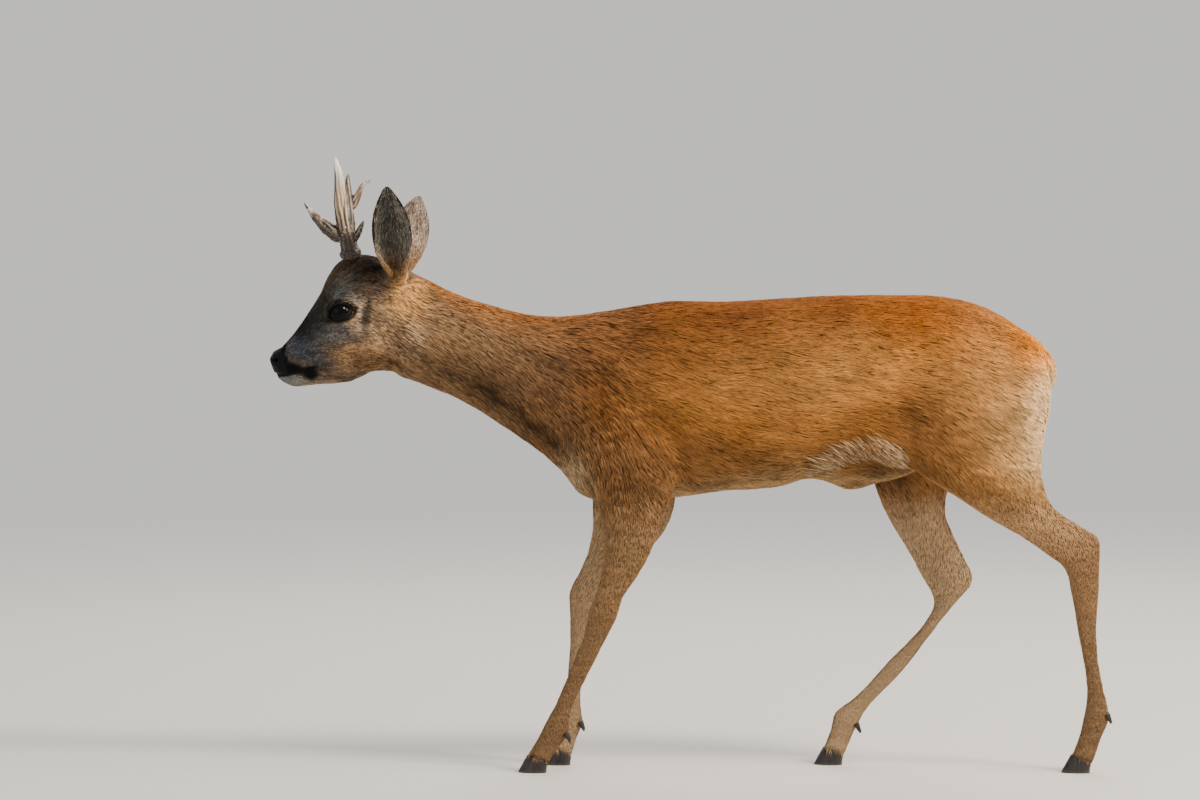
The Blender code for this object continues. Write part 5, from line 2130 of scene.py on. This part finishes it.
@dataclass
class Pearls:
    """The rough pearls round the lower beam, set by a point scatter.

    Attributes:
        radius: Radius of the largest pearl, in metres.
        smallest: Size of the smallest as a share of the largest.
        spacing: Least distance between pearls, in metres.
        density: Most pearls on a square metre.
        seed: Seed of the scatter.
    """

    radius: float = 0.0016
    smallest: float = 0.35
    spacing: float = 0.0024
    density: float = 260000.0
    seed: int = 4

    def tree(self) -> bpy.types.NodeTree:
        """Build the node tree that sets pearls over a rough surface.

        Returns:
            The node tree.
        """
        tree = bpy.data.node_groups.new("antler_pearls", "GeometryNodeTree")
        face = tree.interface
        face.new_socket("Beam", in_out="INPUT", socket_type="NodeSocketGeometry")
        for name, value in (("Pearl radius", self.radius), ("Spacing", self.spacing)):
            face.new_socket(name, in_out="INPUT", socket_type="NodeSocketFloat").default_value = value
        face.new_socket("Pearls", in_out="OUTPUT", socket_type="NodeSocketGeometry")
        wiring = Wiring(tree)
        given = wiring.add("NodeGroupInput", {}).outputs
        rough = wiring.add("GeometryNodeInputNamedAttribute", {"Name": "rough"}, data_type="FLOAT")
        scatter = wiring.add("GeometryNodeDistributePointsOnFaces", {
            "Mesh": given["Beam"],
            "Distance Min": given["Spacing"],
            "Density Max": self.density,
            "Density Factor": rough.outputs["Attribute"],
            "Seed": self.seed,
        }, distribute_method="POISSON")
        bead = wiring.add("GeometryNodeMeshIcoSphere", {"Radius": given["Pearl radius"], "Subdivisions": 2})
        sizes = {2: self.smallest, 3: 1.0, "Seed": self.seed}
        chance = wiring.add("FunctionNodeRandomValue", sizes, data_type="FLOAT")
        place = wiring.add("GeometryNodeInstanceOnPoints", {
            "Points": scatter.outputs["Points"],
            "Instance": bead.outputs["Mesh"],
            "Scale": chance.outputs[1],
        })
        real = wiring.add("GeometryNodeRealizeInstances", {"Geometry": place.outputs["Instances"]})
        coat = wiring.add("GeometryNodeSetMaterial", {"Geometry": real.outputs["Geometry"]})
        wiring.add("NodeGroupOutput", {0: coat.outputs["Geometry"]})
        return tree

    def over(self, mesh: bpy.types.Mesh, tree: bpy.types.NodeTree) -> bpy.types.Mesh:
        """Set pearls over a mesh that holds the values "rough".

        Args:
            mesh: The beam.
            tree: The node tree.

        Returns:
            The pearls alone, as a plain mesh.
        """
        item = link("pearls", mesh.copy())
        step = item.modifiers.new("pearls", "NODES")
        step.node_group = tree
        sizes = {socket.name: socket.identifier for socket in tree.interface.items_tree}
        step[sizes["Pearl radius"]] = self.radius
        step[sizes["Spacing"]] = self.spacing
        return baked(item)


@dataclass
class Antler:
    """One antler: beam and tines grown together, grooved, with pearls below.

    Attributes:
        side: The side it stands on.
        voxel: Fineness of its surface, in metres.
        grow: How far its solids are grown, in metres.
        groove: Depth of its grooves in millimetres.
        foot: Height of the head's burr in millimetres.
        tip: Height of the highest tip in millimetres.
        pearls_end: Heights over the foot where the pearls begin to thin out and end.
        burr: Heights over and under the foot where the burr begins to sink and ends.
        painted_shade_span: Lowest and highest place of the painted shade on the beam's front edge.
        low: Colour low down and on the inside.
        high: Colour higher up.
        polished: Colour of the polished tips.
        lined: Colour of the fine lines along it.
        ridged: Colour of the ridges between the grooves.
        grooved_in: Colour in the grooves.
        front_edge: Colour of the painted shade on the beam's front edge.
        pearled: Colour of the pearls.
    """

    side: Side
    voxel: float = 0.0009
    grow: float = 0.0002
    groove: float = 0.95
    foot: float = 748.0
    tip: float = 894.0
    pearls_end: tuple = (26, 58)
    burr: tuple = (3.5, 6.5)
    # heights of the painted shade on the beam's front edge
    painted_shade_span: tuple = (790, 878)
    low: tuple = (40, 29, 24)
    high: tuple = (182, 152, 120)
    polished: tuple = (246, 238, 222)
    lined: tuple = (50, 36, 28)
    ridged: tuple = (226, 204, 174)
    grooved_in: tuple = (30, 22, 18)
    # painted shade on the beam's front edge
    front_edge: tuple = (34, 25, 21)
    pearled: tuple = (104, 84, 66)

    def nodes(self) -> tuple:
        """Names of its solid nodes."""
        return tuple("antler_%s_%s" % (self.side.label, part) for part in ANTLER_PARTS)

    def grooved(self, name: str) -> bpy.types.Mesh:
        """Cut lengthwise grooves into a fine copy of one solid node.

        Args:
            name: The node's name.

        Returns:
            The grooved mesh.
        """
        mesh = remeshed(copy_nodes((name,), self.grow), self.voxel)
        points = spread(mesh_points(mesh), mesh_edges(mesh), 8, 0.6)
        set_points(mesh, points)
        places = to_table(points)
        middle = places.mean(axis=0)
        axis = np.linalg.svd((places - middle)[::7], full_matrices=False)[2][0]
        squeezed = places - ((places - middle) @ axis)[:, None] * axis[None] * 0.93
        lines = Waves(41, 5.6, count=22).at(squeezed)
        fine = Waves(42, 2.6, (1, 1, 2), count=22).at(squeezed)
        depth = 0.10 * fine - self.groove * np.clip(lines, -0.4, 2.0) * 0.6
        thin = ramp(np.linalg.norm(places - middle, axis=1), 0.35, 1.0)
        set_points(mesh, points + mesh_normals(mesh) * (depth * (0.5 + 0.5 * thin))[:, None] * MM)
        return mesh

    def build(self, pearls: Pearls, tree: bpy.types.NodeTree) -> bpy.types.Object:
        """Make the antler.

        Args:
            pearls: The pearls' sizes.
            tree: The pearls' node tree.

        Returns:
            The antler.
        """
        mesh = remeshed(joined([self.grooved(name) for name in self.nodes()]), self.voxel)
        places = to_table(mesh_points(mesh))
        inward = ramp(-np.abs(places[:, 1]), -46, -26)
        height = places[:, 2] - self.foot
        rough = (1.0 - ramp(height, *self.pearls_end)) * (0.35 + 0.65 * inward) * ramp(height, -8, -4)
        burr = 1.0 - ramp(np.abs(height), *self.burr)
        set_values(mesh, np.clip(np.maximum(rough, burr), 0, 1), "rough")
        whole = remeshed(joined([mesh, pearls.over(mesh, tree)]), self.voxel)
        points = mesh_points(whole)
        edges = mesh_edges(whole)
        smooth = spread(points, edges, 10, 0.6)
        points = points + (smooth - points) * 0.3
        set_points(whole, points)
        even = spread(smooth, edges, 34, 0.6)
        normals = mesh_normals(whole)
        standing = spread(((points - even) * normals).sum(axis=1) / MM, edges, 1)
        standing = standing - spread(standing, edges, 40)
        fine = ((points - smooth) * normals).sum(axis=1) / MM
        places = to_table(points)
        inner = ramp(-normals[:, 1] * self.side.value, 0.0, 0.7)
        # painted shade on the front-facing side of the beam
        front = ramp(-normals[:, 0], 0.45, 0.85) * band(places[:, 2], *self.painted_shade_span, 10)
        set_colours(whole, self.colours(places, standing, fine, inner, front))
        return link("antler_%s" % self.side.label, whole)

    def colours(self, places: np.ndarray, standing: np.ndarray, fine: np.ndarray,
                inner: np.ndarray, front: np.ndarray) -> np.ndarray:
        """Colour the antler: dark and rough below, pale and polished at the tips and ridges, with painted
        shade on the beam's front edge.

        Args:
            places: Places in millimetres.
            standing: How far each place stands out of its wide surroundings, in millimetres.
            fine: How far it stands out of its close surroundings, in millimetres.
            inner: Weight of the side that faces the other antler.
            front: Weight of the painted shade on the beam's front edge.

        Returns:
            One colour a place.
        """
        height = (places[:, 2] - self.foot) / (self.tip - self.foot)
        tine = ramp(-places[:, 0], 524, 540) + ramp(places[:, 0], -500, -488)
        streak = Waves(51, 8.0, (1, 1, 9)).at(places)
        patch = Waves(52, 34.0).at(places)
        pale = ramp(height - 0.26 * tine + 0.12 * streak + 0.05 * patch, 0.12, 0.62) * (1.0 - 0.6 * inner)
        tip = ramp(height + 0.42 * ramp(-places[:, 0], 548, 570), 0.60, 0.88)
        worn = ramp(height, 0.30, 0.62) * (1.0 - inner)
        line = ramp(Waves(53, 4.6, (1, 1, 12), 22).at(places), 0.4, 1.1)
        ridge = ramp(standing, 0.02, 0.16) * ramp(height, 0.14, 0.45) * (0.85 - 0.6 * inner)
        groove = ramp(-standing, 0.0, 0.14) * 0.92
        colour = plain(self.low, len(places))
        for over, weight in (
            (self.high, pale),
            (self.polished, tip * 0.95),
            (self.lined, line * 0.75 * (1.0 - 0.8 * worn)),
            (self.ridged, ridge * (1.0 - tip)),
            (self.grooved_in, groove * (1.0 - 0.78 * worn)),
            # painted shade along the beam's front edge
            (self.front_edge, front * 0.85),
            (self.pearled, ramp(fine, 0.06, 0.24) * 0.45 * (1.0 - pale)),
        ):
            colour = blend(colour, over, weight)
        return np.clip(colour * (1.0 + 0.10 * streak[:, None]), 0.004, 0.92)


# --- feet ---


@dataclass
class Claws:
    """The claws of one foot, drawn finely over their solids.

    Attributes:
        leg: Name of the leg.
        voxel: Fineness in metres.
        sole: Height up to which a claw is flat below, in millimetres.
        horn: Colour of the horn.
        worn: Colour of its worn edge at the ground.
    """

    leg: str
    voxel: float = 0.0012
    sole: float = 1.6
    horn: tuple = (34, 29, 26)
    worn: tuple = (84, 72, 60)

    def claw(self, node: str) -> bpy.types.Mesh:
        """Draw one claw with faint rings and a flat sole.

        Args:
            node: The claw's solid node.

        Returns:
            The claw.
        """
        mesh = remeshed(copy_nodes((node,), 0.0), self.voxel)
        points = mesh_points(mesh)
        floor = max(points[:, 2].min(), 0.0)
        points = spread(points, mesh_edges(mesh), 7, 0.5)
        height = (points[:, 2] - floor) / MM
        ring = 0.07 * np.sin(height * 2.1 + 0.5 * Waves(61, 12.0).at(to_table(points)))
        points = points + mesh_normals(mesh) * (ring * ramp(height, 2, 5))[:, None] * MM
        points[:, 2] = np.maximum(np.where(height < self.sole, floor, points[:, 2]), floor)
        set_points(mesh, points)
        return mesh

    def build(self, kind: str) -> bpy.types.Object:
        """Make both claws or both dewclaws.

        Args:
            kind: "hoof" or "dewclaw".

        Returns:
            The pair as one piece.
        """
        whole = joined([self.claw(node) for node in claw_nodes(self.leg, kind)])
        places = to_table(mesh_points(whole))
        height = places[:, 2] - places[:, 2].min()
        streak = Waves(62, 6.0, (1, 1, 6)).at(places)
        colour = plain(self.horn, len(places)) * (1.0 + 0.22 * streak)[:, None]
        colour = blend(colour, self.worn, (1.0 - ramp(height, 0.5, 5.0)) * 0.5)
        set_colours(whole, np.clip(colour, 0.003, 0.9))
        name = "%s_%s" % (self.leg, "claws" if kind == "hoof" else "dewclaws")
        whole.name = name
        return link(name, whole)


# --- long hair ---


@dataclass
class Fringe:
    """The long pale hair that hangs from the fold of the flank.

    Attributes:
        skin: The skin that it grows from.
        guides: Rows of root place x, root height z, and the way along and up.
        count: Locks on each side.
        length: Usual length in millimetres.
        heights: How far each lock stands off the skin from its root to its tip, in millimetres.
        start: Sideways place from which the roots are sought on the skin, in millimetres.
        rounds: Rounds of that search.
        pale: Colour of the pale hairs.
        paling: How far a pale hair has turned pale from its root to its tip.
        dark_share: Share of the locks that stay dark between the pale ones.
    """

    skin: Skin
    guides: tuple = (
        (160, 428, 0.84, -0.54), (168, 445, 0.78, -0.62), (183, 459, 0.66, -0.75), (201, 470, 0.56, -0.83),
        (220, 477, 0.46, -0.89), (240, 479, 0.44, -0.90), (256, 476, 0.60, -0.80), (270, 467, 0.72, -0.69),
        (280, 455, 0.78, -0.62),
    )
    count: int = 1500
    length: float = 42.0
    heights: tuple = (2.6, 4.4, 4.6, 3.4)
    start: float = 110.0
    rounds: int = 6
    pale: tuple = (230, 198, 154)
    paling: tuple = (0.0, 0.25, 0.55, 0.85, 1.0)
    dark_share: float = 0.40

    def locks(self, side: Side) -> Locks:
        """Make one side's fringe.

        Args:
            side: The side it hangs on.

        Returns:
            The fringe as tufts.
        """
        draws = np.random.default_rng(17)
        count = self.count
        table = np.array(self.guides, float)
        share = np.sort(draws.uniform(0, len(table) - 1, count))
        row = np.stack([np.interp(share, np.arange(len(table)), column) for column in table.T], axis=1)
        clump = np.sin(share * 26.0) + 0.6 * np.sin(share * 61.0 + 1.0)
        start = np.full((count, 3), side.value * self.start)
        start[:, 0] = row[:, 0] + draws.normal(-6, 6, count)
        start[:, 2] = row[:, 1] + draws.normal(3, 6, count)
        surface = self.skin.surface
        for _ in range(self.rounds):
            found, shares = surface.nearest(to_frame(start))
            roots, normals = surface.spots(found, shares)
            start[:, 1] = to_table(roots)[:, 1]
        first = np.array([0.93, 0.0, -0.30]) + draws.normal(0, 0.06, (count, 3))
        end = np.stack([row[:, 2] + 0.16 * clump, np.zeros(count), row[:, 3]], axis=1)
        end = end + draws.normal(0, 0.09, end.shape)
        ends = band(share, 0.5, len(table) - 1.6, 0.7)
        length = self.length * draws.uniform(0.55, 1.1, count) * (0.62 + 0.38 * ends)
        paths = [roots - normals * 0.5 * MM]
        place = roots
        for number, height in enumerate(self.heights):
            turn = (number + 0.5) / len(self.heights)
            way = along_surface(unit(first * (1 - turn) + end * turn), normals, 0.7)
            place = place + way * (length / len(self.heights))[:, None] * MM
            paths.append(place + normals * height * MM)
        colour = surface.read(self.skin.table["colour"], found, shares)
        colour = colour * draws.uniform(0.70, 1.15, (count, 1))
        pale = np.clip(draws.random(count) * 0.60 + 0.40 + 0.15 * clump, 0.0, 1.0)
        dark = draws.random(count) < self.dark_share - 0.14 * clump
        pale = np.where(dark, 0.06, pale)
        colour = colour * np.where(dark, 0.50, 1.0)[:, None]
        shades = [blend(colour, self.pale, pale * paling) for paling in self.paling]
        column = 0.25 + 0.25 * side.value + draws.random(count) * 0.2
        maps = np.stack([share / len(table) * 0.9 + 0.03, column], axis=1)
        return Locks(
            inside(np.stack(paths, axis=1)),
            np.repeat(normals[:, None], len(paths), axis=1),
            draws.uniform(0.7, 1.3, count) * MM,
            np.clip(np.stack(shades, axis=1), 0, BRIGHTEST),
            np.clip(maps, 0.01, 0.98),
        )


# --- finishes ---


@dataclass(frozen=True)
class Finish:
    """A surface that takes its colour from the piece's own stored colours.

    Attributes:
        name: Name of the material.
        roughness: How dull it is.
        specular: Strength of its gloss.
        grain: Size of its fine grain, as repeats a metre.
        relief: Height of that grain in metres.
        mottle: How far the grain changes the colour.
    """

    name: str
    roughness: float
    specular: float = 0.3
    grain: float = 900.0
    relief: float = 0.0
    mottle: float = 0.0

    def material(self) -> bpy.types.Material:
        """Build the material.

        Returns:
            The material with its nodes.
        """
        material, wiring, shader = new_material(self.name)
        colour = wiring.add("ShaderNodeAttribute", {}, attribute_name="coat").outputs["Color"]
        place = wiring.add("ShaderNodeTexCoord", {}).outputs["Object"]
        noise = wiring.add("ShaderNodeTexNoise", {"Vector": place, "Scale": self.grain, "Detail": 3.0})
        grain = noise.outputs["Fac"]
        if self.mottle:
            change = wiring.add("ShaderNodeMapRange", {
                "Value": grain,
                "From Min": 0.3,
                "From Max": 0.7,
                "To Min": 1.0 - self.mottle,
                "To Max": 1.0 + self.mottle,
            })
            scale = {0: colour, "Scale": change.outputs["Result"]}
            colour = wiring.add("ShaderNodeVectorMath", scale, operation="SCALE").outputs["Vector"]
        wiring.feed(shader, {
            "Base Color": colour, "Roughness": self.roughness, "Specular IOR Level": self.specular})
        if self.relief:
            bump = wiring.add("ShaderNodeBump", {"Height": grain, "Distance": self.relief, "Strength": 0.8})
            wiring.feed(shader, {"Normal": bump.outputs["Normal"]})
        return material


@dataclass(frozen=True)
class SkinFinish:
    """The skin: dull under the coat, moist and pebbled where it is bare.

    Attributes:
        name: Name of the material.
        specular: Strength of its gloss.
        dull: Roughness under the coat.
        moist: Roughness where it is bare.
        pebble: Pebbles of the nose, as repeats a metre.
        strand: Strands of the undercoat, as repeats a metre.
        stretch: How the strands' repeats are drawn out along, across and up.
        relief: Height of the pebbles and strands in metres.
    """

    name: str = "deer_skin"
    specular: float = 0.11
    dull: float = 0.75
    moist: float = 0.44
    pebble: float = 620.0
    strand: float = 420.0
    stretch: tuple = (0.22, 1.0, 0.6)
    relief: float = 0.0006

    def material(self) -> bpy.types.Material:
        """Build the material.

        Returns:
            The material with its nodes.
        """
        material, wiring, shader = new_material(self.name)
        stored = wiring.add("ShaderNodeAttribute", {}, attribute_name="coat")
        bare = wiring.add("ShaderNodeAttribute", {}, attribute_name="bare").outputs["Fac"]
        place = wiring.add("ShaderNodeTexCoord", {}).outputs["Object"]
        gloss = wiring.add("ShaderNodeMapRange", {"Value": bare, "To Min": self.dull, "To Max": self.moist})
        cells = wiring.add("ShaderNodeTexVoronoi", {"Vector": place, "Scale": self.pebble})
        along = wiring.add("ShaderNodeMapping", {"Vector": place, "Scale": self.stretch}).outputs["Vector"]
        strands = wiring.add("ShaderNodeTexNoise", {"Vector": along, "Scale": self.strand, "Detail": 4.0})
        relief = wiring.add("ShaderNodeMix", {
            "Factor": bare,
            "A": strands.outputs["Fac"],
            "B": cells.outputs["Distance"],
        }, data_type="FLOAT").outputs["Result"]
        bump = wiring.add("ShaderNodeBump", {"Height": relief, "Distance": self.relief, "Strength": 0.7})
        wiring.feed(shader, {
            "Base Color": stored.outputs["Color"],
            "Roughness": gloss.outputs["Result"],
            "Specular IOR Level": self.specular,
            "Normal": bump.outputs["Normal"],
        })
        return material


COAT_FINISH = Finish("summer_coat", 0.62, specular=0.13, grain=1400.0, mottle=0.10)
LASH_FINISH = Finish("lashes", 0.5)
EYE_FINISH = Finish("eye_wet", 0.06, specular=0.10)
ANTLER_FINISH = Finish("antler_bone", 0.46, specular=0.4, grain=1100.0, relief=0.0003, mottle=0.14)
CLAW_FINISH = Finish("claw_horn", 0.42, specular=0.4, grain=700.0, relief=0.00025, mottle=0.2)


# --- studio ---


@dataclass(frozen=True)
class Lamp:
    """One wide soft lamp.

    Attributes:
        name: Its name.
        place: Where it hangs, in metres.
        size: Its width in metres.
        power: Its power in watts.
        tint: Its colour.
    """

    name: str
    place: tuple
    size: float
    power: float
    tint: tuple = (1.0, 1.0, 1.0)

    def hang(self, target: Vector) -> None:
        """Hang the lamp so that it faces the target.

        Args:
            target: The place that it faces, in metres.
        """
        lamp = bpy.data.lights.new(self.name, "AREA")
        lamp.size = self.size
        lamp.energy = self.power
        lamp.color = self.tint
        item = link(self.name, lamp)
        item.location = self.place
        item.rotation_euler = (target - Vector(self.place)).to_track_quat("-Z", "Y").to_euler()


@dataclass
class Studio:
    """A pale floor, soft lamps and the camera.

    Attributes:
        distance: How far the camera stands, in metres.
        width: Width that the view takes in at the animal, in metres.
        height: How far the camera looks down, in degrees.
        target: Middle of the view in millimetres from the figure's zero point.
        lamps: The lamps.
        lit: Place that the lamps face, in metres.
        room: Colour of the room.
        room_strength: How bright the room is.
        ground: Colour of the floor.
        floor_reach: How far the floor reaches, in metres.
        plain_floor: How far from the middle the floor stays as it is, in metres.
        faded_floor: Where the floor has faded into the room, in metres.
        sensor: Width of the camera's sensor in millimetres.
    """

    distance: float = 12.0
    width: float = 1.74
    height: float = 3.5
    target: tuple = (-145.0, 0.0, 536.5)
    lamps: tuple = (
        Lamp("key", (3.1, -2.3, 4.2), 1.5, 400.0, (1.0, 0.92, 0.80)),
        Lamp("rear", (4.2, -0.7, 2.6), 1.8, 140.0, (1.0, 0.91, 0.78)),
        Lamp("fill", (-4.2, -4.6, 2.2), 4.0, 60.0, (0.88, 0.93, 1.0)),
        Lamp("back", (0.8, 3.6, 3.6), 2.4, 150.0, (1.0, 0.95, 0.86)),
    )
    lit: tuple = (0.0, 0.0, 0.55)
    room: tuple = (0.89, 0.875, 0.85, 1.0)
    room_strength: float = 0.84
    ground: tuple = (0.60, 0.585, 0.56, 1.0)
    floor_reach: float = 40.0
    plain_floor: float = 1.6
    faded_floor: float = 6.5
    sensor: float = 36.0

    def floor(self) -> None:
        """Lay the floor, which fades into the room far from the animal."""
        corners = np.array([(-1, -1, 0), (1, -1, 0), (1, 1, 0), (-1, 1, 0)], float) * self.floor_reach
        mesh = triangle_mesh("floor", corners, np.array([(0, 1, 2), (0, 2, 3)]))
        item = link("floor", mesh)
        material, wiring, shader = new_material("floor_pale")
        wiring.feed(shader, {"Base Color": self.ground, "Roughness": 0.9, "Specular IOR Level": 0.1})
        glow = wiring.add("ShaderNodeEmission", {"Color": self.room, "Strength": self.room_strength})
        place = wiring.add("ShaderNodeTexCoord", {}).outputs["Object"]
        away = wiring.add("ShaderNodeVectorMath", {0: place}, operation="LENGTH")
        fade = wiring.add("ShaderNodeMapRange", {
            "Value": away.outputs["Value"],
            "From Min": self.plain_floor,
            "From Max": self.faded_floor,
        }, interpolation_type="SMOOTHSTEP")
        both = wiring.add("ShaderNodeMixShader", {
            "Fac": fade.outputs["Result"],
            1: shader.outputs["BSDF"],
            2: glow.outputs["Emission"],
        })
        wiring.feed(material.node_tree.nodes["Material Output"], {"Surface": both.outputs["Shader"]})
        mesh.materials.append(material)

    def sky(self) -> None:
        """Light the room evenly."""
        world = bpy.data.worlds.new("room")
        world.use_nodes = True
        back = world.node_tree.nodes["Background"]
        Wiring(world.node_tree).feed(back, {"Color": self.room, "Strength": self.room_strength})
        bpy.context.scene.world = world

    def camera(self) -> None:
        """Place the camera."""
        data = bpy.data.cameras.new("camera")
        data.sensor_width = self.sensor
        data.lens = self.sensor * self.distance / self.width
        data.clip_end = 200.0
        item = link("camera", data)
        angle = math.radians(self.height)
        back = Vector((0.0, -math.cos(angle), math.sin(angle)))
        item.location = Vector(to_frame(np.array(self.target))) + back * self.distance
        item.rotation_euler = (-back).to_track_quat("-Z", "Y").to_euler()
        bpy.context.scene.camera = item

    def build(self) -> None:
        """Set up the whole studio."""
        self.floor()
        self.sky()
        self.camera()
        for lamp in self.lamps:
            lamp.hang(Vector(self.lit))


# --- the whole figure ---


def settle(piece: bpy.types.Object, material: bpy.types.Material, nodes: tuple = ()) -> None:
    """Finish a piece, fix it to the body and hide the solid nodes that it stands for.

    Args:
        piece: The piece.
        material: Its material.
        nodes: The solid nodes that it stands for.
    """
    piece.data.materials.clear()
    piece.data.materials.append(material)
    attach(piece, BODY)
    if nodes:
        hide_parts(*nodes)


def main() -> None:
    """Build the figure piece by piece."""
    logging.basicConfig(level=logging.INFO, format="%(relativeCreated)d ms %(message)s")
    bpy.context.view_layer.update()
    skin = Skin()
    settle(skin.build(), SkinFinish().material(), FLESH)
    coat_material = COAT_FINISH.material()
    for piece in Coat(skin).build():
        settle(piece, coat_material)
    fringe = Fringe(skin)
    lash_material = LASH_FINISH.material()
    eye_material = EYE_FINISH.material()
    for side in Side:
        settle(link("coat_fringe_" + side.label, fringe.locks(side).mesh("fringe")), coat_material)
        settle(link("lashes_" + side.label, EYES.lashes(side).mesh("lashes")), lash_material)
        settle(EYES.ball(side), eye_material, ("eye_" + side.label,))
    pearls = Pearls()
    tree = pearls.tree()
    antler_material = ANTLER_FINISH.material()
    for side in Side:
        antler = Antler(side)
        settle(antler.build(pearls, tree), antler_material, antler.nodes())
    claw_material = CLAW_FINISH.material()
    for leg in LEG_NAMES:
        for kind in ("hoof", "dewclaw"):
            settle(Claws(leg).build(kind), claw_material, claw_nodes(leg, kind))
    Studio().build()


if __name__ == "__main__":
    main()
